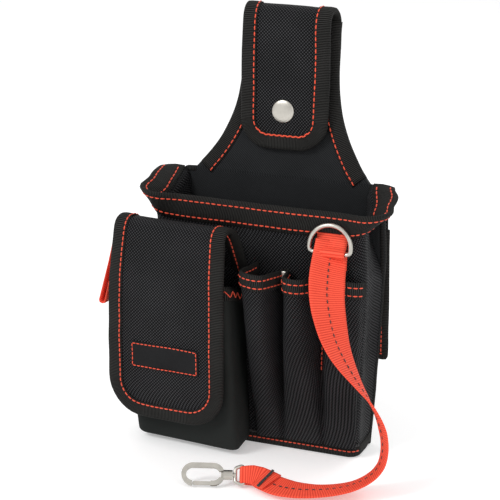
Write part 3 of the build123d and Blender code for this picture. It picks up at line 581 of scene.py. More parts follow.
def seam(sheet, path, inward, height):
    """The line of a seam on a sheet, a distance in from an edge's path."""
    line = []
    for (across, along), (in_across, in_along) in path:
        a, b = across + in_across * inward, along + in_along * inward
        lift = sheet.normal(a, b) * (1 if height > 0 else -1)
        line.append((sheet.at(a, b, height), lift))
    return line


def straight(first, second, count=12):
    """An edge path between two places on a sheet, with no way in."""
    spots = zip(spread(first[0], second[0], count), spread(first[1], second[1], count))
    return [(spot, (0, 0)) for spot in spots]


def mirrored(path, centre):
    """The same edge on the other side of a centre line, in the opposite order."""
    other = [((2 * centre - across, along), (-way[0], way[1])) for (across, along), way in path]
    return other[::-1]


def tongue_path(half_at, top, low, corner, step):
    """The edge of a tongue: down its left side, round both lower corners and up its right side."""
    side_rows = max(2, round((low - corner - top) / step))
    path = [((-half_at(along), along), (1.0, 0.0)) for along in spread(top, low - corner, side_rows)[:-1]]
    half = half_at(low)
    for turn in spread(0.0, math.pi / 2, 9):
        way = (math.cos(turn), -math.sin(turn))
        path.append(((-half + corner - corner * way[0], low - corner - corner * way[1]), way))
    flat_rows = max(1, round((half - corner) / step))
    for across in spread(corner - half, half - corner, flat_rows)[1:-1]:
        path.append(((across, low), (0.0, -1.0)))
    path = [spot for spot in path if spot[0][1] < low or spot[0][0] < 0]
    return path + mirrored(path, 0.0)


def tongue_spans(half_at, top, low, corner, inset, rows):
    """Rows of a tongue's cloth, inside its edge by an inset."""
    spans = []
    for left in spread(1.0, 0.0, rows):
        along = mix(top, low - inset, 1 - left ** 1.6)
        half = half_at(along)
        over = max(0.0, along - (low - corner))
        half = half - corner + math.sqrt(max(0.0, corner * corner - over * over))
        spans.append((along, inset - half, half - inset))
    return spans


def bend_at(piece):
    """Cloth at a hinge: bakes its placement into its mesh."""
    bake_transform(piece)


def rounded_line(corners, reaches, steps):
    """A line of plane points with each inner corner eased over a reach."""
    points = [Vector(corners[0])]
    for before, corner, after, reach in zip(corners, corners[1:], corners[2:], reaches):
        before, corner, after = Vector(before), Vector(corner), Vector(after)
        first = corner + (before - corner).normalized() * min(reach, (before - corner).length * 0.49)
        last = corner + (after - corner).normalized() * min(reach, (after - corner).length * 0.49)
        for share in spread(0.0, 1.0, steps):
            points.append(first.lerp(corner, share).lerp(corner.lerp(last, share), share))
    points.append(Vector(corners[-1]))
    return points


class Line:
    """A plane line that gives its point at a distance from its start."""

    def __init__(self, points):
        self.points = points
        self.far = running(points)
        self.length = self.far[-1]

    def at(self, distance):
        i, share = step_at(self.far, distance)
        return self.points[i - 1] + (self.points[i] - self.points[i - 1]) * share

    def share(self, share):
        return self.at(share * self.length)


# --- lanyard
LANYARD_ROUTE = [
    (58.57, -11.43, 153.5), (58.9, -15.5, 143), (60.2, -24.0, 133.5), (63.2, -33.2, 120.5),
    (68.4, -39.0, 106), (74.2, -42.4, 92.5), (81.7, -44.6, 81), (91.4, -46.9, 69.5),
    (102.3, -48.93, 58), (110.2, -50.43, 44.5), (113.0, -51.93, 30), (110.6, -54.43, 17),
    (99.8, -60.6, 8.0), (85.0, -69.9, 4.8), (69.07, -77.6, 4.4), (54.57, -80.2, 4.7),
    (42.57, -77.9, 6), (33.55, -73.77, 7.6),
]
# share of the lanyard's length, degrees that its face turns from the front towards the lanyard's outer side,
# how far its width curls up, and its width
LANYARD_TWISTS = [
    (0.00, 10, 0.10, 21.5),
    (0.06, 12, 0.30, 24.0),
    (0.12, 16, 0.20, 25.0),
    (0.20, 28, 0.20, 25.0),
    (0.26, 40, 0.20, 25.0),
    (0.33, 58, 0.15, 25.0),
    (0.40, 76, 0.10, 25.0),
    (0.46, 89, 0.10, 25.0),
    (0.54, 97, 0.10, 25.0),
    (0.64, 95, 0.10, 25.0),
    (0.72, 96, 0.10, 25.0),
    (0.82, 101, 0.00, 25.0),
    (0.89, 108, -0.10, 24.5),
    (0.95, 121, -0.25, 21.0),
    (1.00, 150, -0.40, 13.5),
]
FRONTAL = Vector((0.335, -0.904, 0.265))


def route_points(name, route):
    """Points along the smooth curve that the route's points control."""
    curve = bpy.data.curves.new(name, "CURVE")
    curve.dimensions = "3D"
    curve.resolution_u = 12
    spline = curve.splines.new("NURBS")
    spline.points.add(len(route) - 1)
    for point, place in zip(spline.points, route):
        point.co = (*(value * MM for value in place), 1.0)
    spline.order_u = 3
    spline.use_endpoint_u = True
    holder = bpy.data.objects.new(name, curve)
    bpy.context.scene.collection.objects.link(holder)
    bpy.context.view_layer.update()
    mesh = bpy.data.meshes.new_from_object(holder)
    points = [vertex.co.copy() / MM for vertex in mesh.vertices]
    bpy.data.objects.remove(holder)
    return points


def twist_at(share, way):
    """Face, curl and width of the lanyard at a share of its length, where it runs a given way."""
    facing = (FRONTAL - way * FRONTAL.dot(way)).normalized()
    outer = facing.cross(way).normalized()
    for (near, *first), (far, *last) in zip(LANYARD_TWISTS, LANYARD_TWISTS[1:]):
        if share <= far or far == 1.0:
            part = min(1.0, (share - near) / (far - near))
            turn, curl, width = (mix(low, high, part) for low, high in zip(first, last))
            turn = math.radians(turn)
            return facing * math.cos(turn) + outer * math.sin(turn), curl, width


def webbing_loop(centre, way, face, curl, width=WEBBING, thick=WEBBING_T, columns=16):
    """One cross-section of a webbing, curled about its length, as a closed loop."""
    face = (face - way * face.dot(way)).normalized()
    side = way.cross(face).normalized()
    bend = math.copysign(max(abs(curl), 0.02), curl)
    radius = width / bend
    outer, inner = [], []
    for share in spread(-0.5, 0.5, columns):
        turn = bend * share
        out = side * math.sin(turn) * radius + face * (1 - math.cos(turn)) * radius
        lift = face * math.cos(turn) - side * math.sin(turn)
        edge = 1.0 - 0.6 * abs(2 * share) ** 12
        outer.append(centre + out + lift * thick / 2 * edge)
        inner.append(centre + out - lift * thick / 2 * edge)
    sag = face * (1 - math.cos(bend / 2)) * radius * 0.5
    return [point - sag for point in outer + inner[::-1]]


def lanyard():
    """The webbing from its tab to the swivel eye, with a row of black stitches along its middle."""
    points = route_points("lanyard_route", LANYARD_ROUTE)
    far = running(points)
    rows, faces = [], []
    for i, point in enumerate(points):
        way = heading(points, i)
        face, curl, width = twist_at(far[i] / far[-1], way)
        rows.append(webbing_loop(point, way, face, curl, width))
        faces.append(face)
    webbing = loft("lanyard_webbing", rows, WEB_ORANGE, "pouch", ["lanyard"], soft=False)
    middle = len(rows[0]) // 4
    lines = []
    for side, column in ((1, middle), (-1, len(rows[0]) - 1 - middle)):
        line = [(row[column] + face * side * 0.05, face * side) for row, face in zip(rows, faces)]
        lines.append(line[3:-3])
    seams = stitches("lanyard_centre_stitches", lines, "pouch", BLACK_THREAD, 4.4, 2.5, 0.38)
    fold, tack = lanyard_end(points, rows, faces)
    return webbing, [seams, fold, tack], points


def lanyard_end(points, rows, faces):
    """The webbing's end, turned round the swivel eye's bar and sewn down on itself."""
    bar = Vector(EYE_BAR)
    back = -Vector(EYE_HEADING)
    across = Vector(EYE_BAR_WAY)
    lift = back.cross(across).normalized()
    if lift.dot(FRONTAL) < 0:
        lift = -lift
    line, sides, widths = [], [], []
    start = len(points) - FOLD_SPANS
    for i in range(start, len(points) - 2):
        part = (i - start) / FOLD_SPANS
        way = heading(points, i)
        line.append(points[i] - faces[i] * (WEBBING_T * 1.12))
        sides.append(way.cross(faces[i]).normalized())
        widths.append((rows[i][0] - rows[i][len(rows[i]) // 2 - 1]).length * mix(1.0, 0.97, part))
    sign = 1 if sides[-1].dot(across) > 0 else -1
    end = [(d, mix(BAR_R, 1.6, (d - 2.5) / 6), mix(11.4, 13.0, d / 6)) for d in (5.5, 2.5)]
    end += [(-BAR_R * math.sin(turn), BAR_R * math.cos(turn), 11.2) for turn in spread(0.0, math.pi, 8)]
    end += [(d, -mix(BAR_R, 0.9, d / 8.5), mix(11.4, 13.5, d / 8.5)) for d in (3.0, 6.0, 8.5)]
    for distance, rise, width in end:
        line.append(bar + back * distance + lift * rise)
        sides.append(across * sign)
        widths.append(width)
    loops = []
    for i, (point, side, width) in enumerate(zip(line, sides, widths)):
        way = heading(line, i)
        loops.append(webbing_loop(point, way, side.cross(way).normalized(), 0.05, width))
    fold = loft("lanyard_end_fold", loops, WEB_ORANGE, "pouch", ["lanyard_end_loop"], soft=False)
    first = start + 3
    bars = []
    for slip in (-0.55, 0.0, 0.55):
        ends = []
        for edge, share in ((0, first + 2), (-1, first)):
            row = rows[share]
            corner = row[0] if edge == 0 else row[len(row) // 2 - 1]
            middle = (row[0] + row[len(row) // 2 - 1]) / 2
            spot = middle.lerp(corner, 1.04) - faces[share] * (WEBBING_T * 1.75)
            ends.append((spot + heading(points, share) * slip, -faces[share]))
        bars.append(ends)
    tack = stitches("lanyard_bartack_stitches", bars, "pouch", BLACK_THREAD, 2.1, 2.05, 0.42)
    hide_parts("lanyard_bartack")
    return fold, tack


# --- bag: front and gussets in one shell
BACK_INNER = BACK_FACE - WALL   # y of the back wall's inner face
FLAT_SHARE = 0.58               # share of the half-way round where the front ends
CORNER_SHARE = 0.68             # where the front corner ends
FLANGE = 14.0                   # the mouth's flared strip
BEND = 10.0                     # and the bend below it
# share of the half-way round, height of the mouth's edge, and degrees that its strip leans out there
MOUTH = [
    (0.00, 171.4, 2), (0.48, 171.8, 3), (0.56, 172.4, 15), (0.62, 173.3, 36), (0.68, 174.8, 52),
    (0.76, 177.6, 60), (0.86, 180.4, 70), (0.94, 181.0, 84), (1.00, 180.2, 97),
]
WAIST = 6.0                     # how far the sides turn in under the mouth
REAR_IN = {-1: 8.5, 1: 12.5}    # and how far where they meet the back
FRONT_BELLY = 1.1
GUSSET_HOLLOW = 2.0
BAG_CORNER = 7.0                # radius between the front and the gussets
RIM_SEAMS = (3.2, 14.0)         # from the mouth's edge


def half_width(z):
    """Half width of the bag at a height, below its flared mouth."""
    return mix(HALF_BOTTOM, HALF_TOP, min(1.0, z / FLARE_Z))


def front_y(z):
    return mix(FRONT_LOW, FRONT_HIGH, z / RIM_Z)


def smooth_through(table, place, column):
    """A smooth curve through one column of a table, without waves between its rows."""
    slopes = [(b[column] - a[column]) / (b[0] - a[0]) for a, b in zip(table, table[1:])]
    inner = [2 * a * b / (a + b) if a * b > 0 else 0.0 for a, b in zip(slopes, slopes[1:])]
    leans = [slopes[0]] + inner + [slopes[-1]]
    for i, (near, far) in enumerate(zip(table, table[1:])):
        if place <= far[0] or i == len(table) - 2:
            span = far[0] - near[0]
            t = (place - near[0]) / span
            low, high = near[column], far[column]
            rise = (t ** 3 - 2 * t * t + t) * span * leans[i] + (t ** 3 - t * t) * span * leans[i + 1]
            return mix(low, high, t * t * (3 - 2 * t)) + rise


def mouth_at(share):
    """Height of the mouth's edge, and how far the strip below it leans out."""
    side = min(1.0, abs(share))
    return smooth_through(MOUTH, side, 1), math.radians(smooth_through(MOUTH, side, 2))


def flare(share, down):
    """How far the cloth stands out and hangs down, at a distance along it from the mouth's edge."""
    turn = mouth_at(share)[1]
    radius = BEND / turn
    if down < FLANGE:
        out = (FLANGE - down) * math.sin(turn) + radius * (1 - math.cos(turn))
        return out, down * math.cos(turn)
    left = turn * max(0.0, 1 - (down - FLANGE) / BEND)
    drop = FLANGE * math.cos(turn) + radius * (math.sin(turn) - math.sin(left))
    return radius * (1 - math.cos(left)), drop + max(0.0, down - FLANGE - BEND)


def cloth_down(share, z):
    """Distance along the cloth from the mouth's edge to a height below the flare."""
    return FLANGE + BEND + mouth_at(share)[0] - flare(share, FLANGE + BEND)[1] - z


def bag_place(share, down):
    """Outer face of the bag's cloth: its share of the way round, and millimetres along it from the mouth."""
    out, drop = flare(share, down)
    z = mouth_at(share)[0] - drop
    front = front_y(z) - FRONT_BELLY * math.sin(math.pi * min(1.0, z / RIM_Z)) ** 2
    side = abs(share)
    corner = BAG_CORNER
    right_rear = easy((share - 0.86) / 0.14)
    z += 1.5 * right_rear
    out *= 1 - 0.2 * right_rear
    turned_in = mix(WAIST, REAR_IN[1 if share > 0 else -1], easy((side - 0.78) / 0.22))
    half = half_width(z) - turned_in * easy((side - 0.6) / 0.18) * easy((z - 118.0) / 42.0)
    if side <= FLAT_SHARE:
        x, y, turn = (half - corner) * side / FLAT_SHARE, front, 0.0
    elif side <= CORNER_SHARE:
        turn = (side - FLAT_SHARE) / (CORNER_SHARE - FLAT_SHARE) * math.pi / 2
        x, y = half - corner + corner * math.sin(turn), front + corner - corner * math.cos(turn)
    else:
        part = (side - CORNER_SHARE) / (1 - CORNER_SHARE)
        x = half - GUSSET_HOLLOW * math.sin(math.pi * part) * easy(z / 40.0) * easy((150.0 - z) / 40.0)
        y, turn = mix(front + corner, BACK_INNER, part), math.pi / 2
    x, y = x + out * math.sin(turn), y - out * math.cos(turn)
    forward = (BACK_INNER - y) / (BACK_INNER - front)
    drift = FRONT_DRIFT * min(1.0, z / FLARE_Z) * easy((173.0 - z) / 14.0) * forward
    return in_frame(math.copysign(x, share) + drift, y, z)


BAG_UNIT = 0.02                 # share of the way round, for a millimetre
BAG = Sheet(bag_place, -1.0, BAG_UNIT)


def bag_path(low, high, count, down_at):
    """A path round the bag at a height below its mouth, with its way in pointing down."""
    return [((share, down_at(share)), (0.0, 1.0)) for share in spread(low, high, count)]


def bag_shell():
    rows = []
    for part in spread(0.0, 1.0, 44):
        spots = [(share, part ** 1.15 * cloth_down(share, 1.0)) for share in spread(-1, 1, 100)]
        rows.append(loop_on(BAG, spots, 0.0, -CLOTH))
    loft("bag_shell", rows, WEAVE, "pouch", ["front_panel", "gusset_left", "gusset_right"])


def bag_bottom():
    """The bottom's cloth, with a binding of black tape that turns up round its edge."""
    def place(x, y):
        return in_frame(x, y, 1.6)
    spans = []
    for y in spread(FRONT_LOW + 1.2, BACK_INNER, 12):
        round_in = 6.0 * (1 - math.sqrt(max(0.0, 1 - (1 - min(1.0, (y - FRONT_LOW) / 7.0)) ** 2)))
        spans.append((y, -HALF_BOTTOM + 1.2 + round_in, HALF_BOTTOM - 1.2 - round_in))
    panel("bag_bottom_cloth", Sheet(place), spans, 20, -0.8, 0.8, LINING, "pouch", ["bottom_panel"])
    outer = [(8.3, 0.05), (8.0, 0.9), (4.0, 1.1), (1.2, 0.9), (0.15, -0.6), (0.1, -3.5)]
    rows = []
    for share in spread(-0.995, 0.995, 60):
        loop = [BAG.at(share, cloth_down(share, z), h) for z, h in outer]
        loop += [BAG.at(share, cloth_down(share, z + 0.3), h - 0.7) for z, h in reversed(outer)]
        for point in loop:
            point.z = max(point.z, 0.05)
        rows.append(loop)
    loft("bottom_cover_tape", rows, RIBBED, "pouch", ["bottom_cover"])
    path = bag_path(-0.1, 0.66, 60, lambda share: cloth_down(share, 5.0))
    stitches("bottom_stitches", [seam(BAG, path, 0.0, 1.05)], "pouch", pitch=3.2, length=2.5)
    path = bag_path(-0.1, 0.66, 90, lambda share: cloth_down(share, 8.9))
    stitches("bottom_seam_cord", [seam(BAG, path, 0.0, 0.5)], "pouch", BLACK_THREAD, 1.9, 1.8, 0.85)


def bag_rim():
    """The wide tape folded over the mouth, with two rows of stitches inside and out."""
    middle = Sheet(lambda share, down: BAG.at(share, down, -CLOTH / 2), -1.0, BAG_UNIT)
    path = bag_path(-1.0, 1.0, 122, lambda share: 0.0)
    binding("rim_band", middle, path, CLOTH / 2, RIM_TAPE, RIM_TAPE, RIBBED, "pouch", ["rim_tape"])
    sewn = bag_path(-0.97, 0.97, 150, lambda share: 0.0)
    height = CLOTH / 2 + ON_TAPE
    lines = [seam(middle, sewn, down, face * height) for down in RIM_SEAMS for face in (1, -1)]
    stitches("rim_stitches", lines, "pouch")


# --- back wall, yoke and neck
def wall_y(z):
    """y of the back wall's back face."""
    return BACK_FACE + max(0.0, z - BEND_Z) * math.tan(LEAN)


def sway(z):
    """How far the yoke and the strap stand off centre: right at their middle, left on top."""
    middle_z, top_z, foot_z = 232.0, 288.0, 184.0
    return mix(0.4, -0.8, easy((z - middle_z) / (top_z - middle_z))) * easy((z - foot_z) / 20.0)


def wall_place(x, z):
    """Middle of the back wall's thickness."""
    lean = math.cos(LEAN) if z > BEND_Z else 1.0
    return in_frame(x + sway(z), wall_y(z) - WALL / 2 / lean, z)


WALL_SHEET = Sheet(wall_place)


def yoke_edge(z):
    """Half width of the yoke: concave sides that run into a straight neck."""
    if z >= YOKE_ARC_Z:
        return NECK_HALF
    return NECK_HALF + YOKE_R - math.sqrt(YOKE_R ** 2 - (YOKE_ARC_Z - z) ** 2)


def wall_spans():
    """The back wall's rows: up its sides, round its upper corners and up the yoke."""
    corner_z, shoulder_z = 176.0, 183.3
    spans = []
    for z in spread(1.0, corner_z, 32):
        half = half_width(z) + mix(0.4, WALL_TOP - HALF_TOP, easy((z - 130) / 40))
        spans.append((z, -half, half))
    for turn in spread(0.0, math.pi / 2, 9)[1:]:
        half = WALL_TOP - 5 * (1 - math.cos(turn))
        spans.append((corner_z + 7.0 * math.sin(turn), -half, half))
    for z in spread(shoulder_z, NECK_TOP, 29):
        spans.append((z, -yoke_edge(z), yoke_edge(z)))
    return spans


def yoke_path(side):
    path = []
    for z in spread(187.5, NECK_TOP, 45):
        slope = yoke_edge(z + 0.5) - yoke_edge(z - 0.5)
        way = Vector((-1.0, slope)).normalized()
        path.append(((side * yoke_edge(z), z), (side * way.x, way.y)))
    return path


def back_wall():
    spans = wall_spans()
    panel("yoke_lining_cloth", WALL_SHEET, spans, 28, -0.2, WALL / 2, LINING, "pouch", ["back_lining"])
    nodes = ["back_panel", "back_stiffener"]
    panel("back_cloth", WALL_SHEET, spans, 28, -WALL / 2, -0.2, WEAVE, "pouch", nodes)
    lines = []
    for side, name in ((-1, "left"), (1, "right")):
        path = yoke_path(side)
        node = "yoke_binding_" + name
        binding("yoke_tape_" + name, WALL_SHEET, path, WALL / 2, BINDING, BINDING, RIBBED, "pouch", [node])
        lines += [seam(WALL_SHEET, path, SEAM_IN, face * (WALL / 2 + TAPE + 0.1)) for face in (1, -1)]
    stitches("yoke_stitches", lines, "pouch")
    edge = [span for span in spans if span[0] <= 183.4]
    for side, name in ((-1, "left"), (1, "right")):
        path = []
        for i, (z, _, half) in enumerate(edge):
            near, far = edge[max(i - 1, 0)], edge[min(i + 1, len(edge) - 1)]
            way = Vector((-(far[0] - near[0]), far[2] - near[2])).normalized()
            path.append(((side * half, z), (side * way.x, way.y)))
        binding("back_edge_tape_" + name, WALL_SHEET, path, WALL / 2 - 0.6, 3.0, 9.0, RIBBED, "pouch")


# --- neck fold and belt tongue
TONGUE_CLOTH = 3.2
STRAP_R = FOLD_R - TONGUE_CLOTH / 2
CREST_Y = wall_y(NECK_TOP) - FOLD_R
STRAP_START_Z = 268.0


def tongue_profile():
    """Side view of the strap: up the back of the neck, over the crest and down the front."""
    start = Vector((wall_y(STRAP_START_Z) - TONGUE_CLOTH / 2, STRAP_START_Z))
    points = [start]
    for turn in spread(0.0, math.pi, 24):
        points.append(Vector((CREST_Y + STRAP_R * math.cos(turn), NECK_TOP + STRAP_R * math.sin(turn))))
    points.append(Vector((14.9, TONGUE_LOW_Z)))
    return Line(points)


TONGUE_LINE = tongue_profile()
TONGUE_CREASE = TONGUE_LINE.length - (NECK_TOP - TONGUE_LOW_Z) - STRAP_R * math.pi


def tongue_place(across, along):
    spot = TONGUE_LINE.at(along)
    return in_frame(across + sway(spot.y), spot.x, spot.y)


TONGUE = Sheet(tongue_place, side=-1.0)


def tongue_half(along):
    """The strap narrows from the neck's width to the tongue's as it comes over the crest."""
    part = (along - TONGUE_CREASE * 0.4) / (TONGUE_CREASE * 0.6 + STRAP_R * math.pi)
    return mix(NECK_HALF, TONGUE_HALF, easy(part))


def tongue():
    length = TONGUE_LINE.length
    path = tongue_path(tongue_half, 2.0, length, TONGUE_CORNER, 2.2)
    spans = tongue_spans(tongue_half, 0.0, length, TONGUE_CORNER, 1.0, 64)
    half = TONGUE_CLOTH / 2
    cloth = panel("belt_tongue_cloth", TONGUE, spans, 16, -half, half, WEAVE, None)
    tape = binding("belt_tongue_tape", TONGUE, path, half, BINDING, BINDING, RIBBED, None)
    front = seam(TONGUE, path, SEAM_IN, half + ON_TAPE)
    double = seam(TONGUE, [spot for spot in path if spot[0][1] > length - 8], 9.5, half + TAPE + 0.3)
    sewn = stitches("belt_tongue_stitches", [front, double], None)
    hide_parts("belt_tongue", "neck_fold")
    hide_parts("belt_tongue_binding")
    for piece in (cloth, tape, sewn):
        bend_at(piece)


# --- tool pockets: one pleated panel
# corners of the three pockets, in plan, at the bottom and at the mouth; None is the front panel's face
POCKET_LOW_Z, POCKET_HIGH_Z = 8.0, 130.0
POCKETS_LOW = [
    (-1.0, None), (1.0, -18.5), (16.0, -17.5), (18.5, None),
    (21.0, -17.5), (45.0, -17.0), (47.2, None),
    (50.0, -17.0), (68.0, -17.0), (70.0, None),
]
POCKETS_HIGH = [
    (-2.5, None), (-6.5, -50.0), (11.5, -57.0), (20.0, None),
    (24.0, -46.0), (37.0, -44.5), (43.5, None),
    (51.0, -30.5), (71.0, -29.0), (74.0, None),
]
POCKET_SOFTNESS = [10.0, 10.0, 5.0, 9.5, 9.5, 3.0, 5.0, 6.0]
POCKET_SEAMS = (2.8, 8.4)       # from the mouths' edge
POCKET_PLY = 0.6                # half the pockets' cloth at its mouths


def pocket_top(share):
    """Height of the pockets' mouths, lower towards the right."""
    return 133.0 - 5.8 * share


def pocket_line(z):
    part = (z - POCKET_LOW_Z) / (POCKET_HIGH_Z - POCKET_LOW_Z)
    swell = part + 0.16 * math.sin(math.pi * min(1.0, max(0.0, part)))
    face = front_y(z) - 1.4
    corners = []
    for low, high in zip(POCKETS_LOW, POCKETS_HIGH):
        depth = face if low[1] is None else mix(low[1], high[1], swell)
        corners.append((mix(low[0], high[0], part), min(depth, face)))
    return Line(rounded_line(corners, POCKET_SOFTNESS, 8))


POCKET_LINES = {}


def pocket_place(share, down):
    z = pocket_top(share) - down
    level = round(z * 2) / 2
    if level not in POCKET_LINES:
        POCKET_LINES[level] = pocket_line(level)
    spot = POCKET_LINES[level].share(min(1.0, max(0.0, share)))
    return in_frame(spot.x, spot.y, z)


POCKET_UNIT = 0.012
POCKETS = Sheet(pocket_place, -1.0, POCKET_UNIT)


def tool_pockets():
    rows = []
    for part in spread(0.0, 1.0, 44):
        spots = [(share, part * (pocket_top(share) - POCKET_LOW_Z)) for share in spread(0.0, 1.0, 150)]
        rows.append(loop_on(POCKETS, spots, 0.0, -CLOTH * 0.8))
    nodes = ["tool_pocket_left", "tool_pocket_middle", "tool_pocket_right"]
    loft("tool_pocket_cloth", rows, WEAVE, "pouch", nodes)
    middle = Sheet(lambda share, down: POCKETS.at(share, down, -POCKET_PLY), -1.0, POCKET_UNIT)
    path = [((share, 0.0), (0.0, 1.0)) for share in spread(0.004, 0.996, 200)]
    tapes = ["tool_pocket_tape_left", "tool_pocket_tape_middle", "tool_pocket_tape_right"]
    binding("tool_pocket_band", middle, path, POCKET_PLY, 11.0, 11.0, RIBBED, "pouch", tapes)
    height = POCKET_PLY + ON_TAPE
    lines = [seam(middle, path[4:-4], down, face * height) for down in POCKET_SEAMS for face in (1, -1)]
    stitches("tool_pocket_stitches", lines, "pouch")
    pleat = [(in_frame(46.0, front_y(z) - 3.4, z), Vector((-0.3, -0.95, 0))) for z in (62.0, 71.0, 80.0)]
    stitches("tool_pleat_stitches", [pleat], "pouch", pitch=3.6, length=2.8)


# --- phone pocket
PHONE_LOW = [(-82.0, None), (-81.5, -36.5), (-3.5, -44.0), (-6.3, None)]
PHONE_HIGH = [(-86.0, None), (-90.0, -45.6), (-11.0, -53.3), (-10.7, None)]
PHONE_LOW_Z = 3.5
PHONE_TOP = 112.0               # height of the mouth where it meets the bag
PHONE_RISE = 8.5                # and how much higher it is in front
PHONE_PLY = 0.75                # half the knit's thickness


def phone_top(share):
    return PHONE_TOP + PHONE_RISE * easy(min(share, 1 - share) / 0.25)


def phone_place(share, z):
    part = (z - PHONE_LOW_Z) / (PHONE_TOP - PHONE_LOW_Z)
    face = front_y(z) - 1.6
    round_off = max(0.0, 1 - (z - PHONE_LOW_Z) / 4.0)
    inset = 2.6 * (1 - math.sqrt(max(0.0, 1 - round_off ** 2)))
    corners = []
    for low, high in zip(PHONE_LOW, PHONE_HIGH):
        x = mix(low[0], high[0], part)
        x += inset if x < -45 else -inset
        swell = 1.8 * math.sin(math.pi * min(1, part))
        y = face if low[1] is None else mix(low[1], high[1], part) + inset * 0.9 - swell
        corners.append((x, y))
    spot = Line(rounded_line(corners, [6.5, 6.5], 8)).share(share)
    return in_frame(spot.x, spot.y, z)


PHONE_UNIT = 0.01
PHONE = Sheet(phone_place, 1.0, PHONE_UNIT)


def phone_pocket():
    shares = spread(0.0, 1.0, 72)
    tall = PHONE_TOP - PHONE_LOW_Z
    levels = [0.0, 0.15, 0.5, 1.1, 2.0, 3.2, 5.0] + spread(8.0, tall, 30)
    rows = []
    for level in reversed(levels):
        lift = (level / tall) ** 4
        spots = [(share, PHONE_LOW_Z + level + lift * (phone_top(share) - PHONE_TOP)) for share in shares]
        rows.append(loop_on(PHONE, spots, 0.0, -2 * PHONE_PLY))
    low = rows[-1]
    middle = sum(low[:len(shares)], Vector()) / len(shares)
    front = BAG_ORIGIN.y + FRONT_LOW - 2
    for shrink in (0.7, 0.35, 0.02):
        x_share = mix(1, shrink, 0.5)
        rows.append([Vector((mix(middle.x, p.x, x_share), mix(front, p.y, shrink), p.z)) for p in low])
    loft("phone_pocket_knit", rows, KNIT, "pouch", ["phone_pocket"])
    path = [((share, phone_top(share)), (0.0, -1.0)) for share in spread(0.01, 0.99, 80)]
    inner = Sheet(lambda share, z: PHONE.at(share, z, -PHONE_PLY), 1.0, PHONE_UNIT)
    binding("phone_pocket_band", inner, path, PHONE_PLY, 9.0, 9.0, RIBBED, "pouch", ["phone_pocket_tape"])
    zigzag = []
    for k, share in enumerate(spread(0.62, 0.985, 13)):
        zigzag.append(((share, phone_top(share) - (2.2 if k % 2 else 6.8)), (0, 0)))
    line = seam(inner, zigzag, 0.0, PHONE_PLY + TAPE + 0.3)
    lines = [[first, second] for first, second in zip(line, line[1:])]
    stitches("phone_pocket_zigzag", lines, "pouch", pitch=12.0, length=11.4, radius=0.36)


def pocket_patch():
    """The loop patch on the knit, facing the flap's hook patch."""
    low, high = (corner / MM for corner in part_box("flap_hook_patch"))
    middle = (low.z + high.z) / 2
    across = [share for share in spread(0.2, 0.8, 120) if low.x < PHONE.at(share, middle).x < high.x]
    spans = [(z, across[0], across[-1]) for z in spread(high.z, low.z, 10)]
    panel("pocket_loop_patch", PHONE, spans, 14, -0.3, 0.9, HOOK_LOOP, "pouch", ["flap_loop_patch"])


# --- phone flap
FLAP_RIGHT = Vector((0.99649, -0.08368, 0.0))
FLAP_BACK = Vector((0.08368, 0.99649, 0.0))
FLAP_TILT = math.radians(2.2)
FLAP_CROWN = 1.4                # how far its middle stands out from its sides
FLAP_TOP = Vector((-55.0, -55.5, 150.0))


def flap_profile():
    """Side view of the flap: up from the bag's front, over a soft ridge and down the pocket's face."""
    drop = FLAP_LONG - FLAP_T / 2
    corners = [
        (41.0, -27.0),
        (20.0, 7.6),
        (2.4, 8.4),
        (1.6, -20.0),
        (1.2 + drop * math.tan(FLAP_TILT), -drop),
    ]
    return Line(rounded_line(corners, [15.0, 9.0, 12.0], 10))


FLAP_LINE = flap_profile()


def flap_place(across, along):
    spot = FLAP_LINE.at(along)
    lower = easy((along - 52.0) / 60.0)
    across = across * mix(0.945, 1.0, lower) + mix(1.8, 0.0, lower)
    round_out = math.sin(math.pi * min(1.0, along / FLAP_LINE.length)) * (1 - (across / FLAP_HALF) ** 2)
    back = spot.x - FLAP_CROWN * round_out
    return BAG_ORIGIN + FLAP_TOP + FLAP_RIGHT * across + FLAP_BACK * back + Vector((0, 0, spot.y))


FLAP = Sheet(flap_place, side=-1.0)


def phone_flap():
    length = FLAP_LINE.length
    half = FLAP_T / 2
    path = tongue_path(lambda along: FLAP_HALF, 1.0, length, FLAP_CORNER, 2.6)
    spans = tongue_spans(lambda along: FLAP_HALF, 0.0, length, FLAP_CORNER, 1.0, 72)
    cloth = panel("phone_flap_cloth", FLAP, spans, 20, -half, half, WEAVE, None)
    tape = binding("phone_flap_tape", FLAP, path, half, BINDING, BINDING, RIBBED, None)
    root = [spot for spot in path if spot[0][1] < 50]
    sides = [[spot for spot in root if spot[0][0] * side > 0] for side in (-1, 1)]
    lines = [seam(FLAP, path, SEAM_IN, half + ON_TAPE)]
    lines += [seam(FLAP, line, 6.0, -half - ON_TAPE) for line in sides]
    sewn = stitches("phone_flap_stitches", lines, None, pitch=3.6, length=2.8)
    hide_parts("phone_flap", "phone_flap_root")
    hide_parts("phone_flap_binding")
    for piece in (cloth, tape, sewn):
        bend_at(piece)


def flap_patch():
    """The hook patch sewn on the flap's inner side."""
    middle = FLAP_LINE.length - 34.0
    spans = [(along, -25.0, 25.0) for along in spread(middle - 12.5, middle + 12.5, 10)]
    face = -FLAP_T / 2
    panel("flap_hook_cloth", FLAP, spans, 14, face - 1.3, face + 0.1, HOOK_LOOP, "flap", ["flap_hook_patch"])


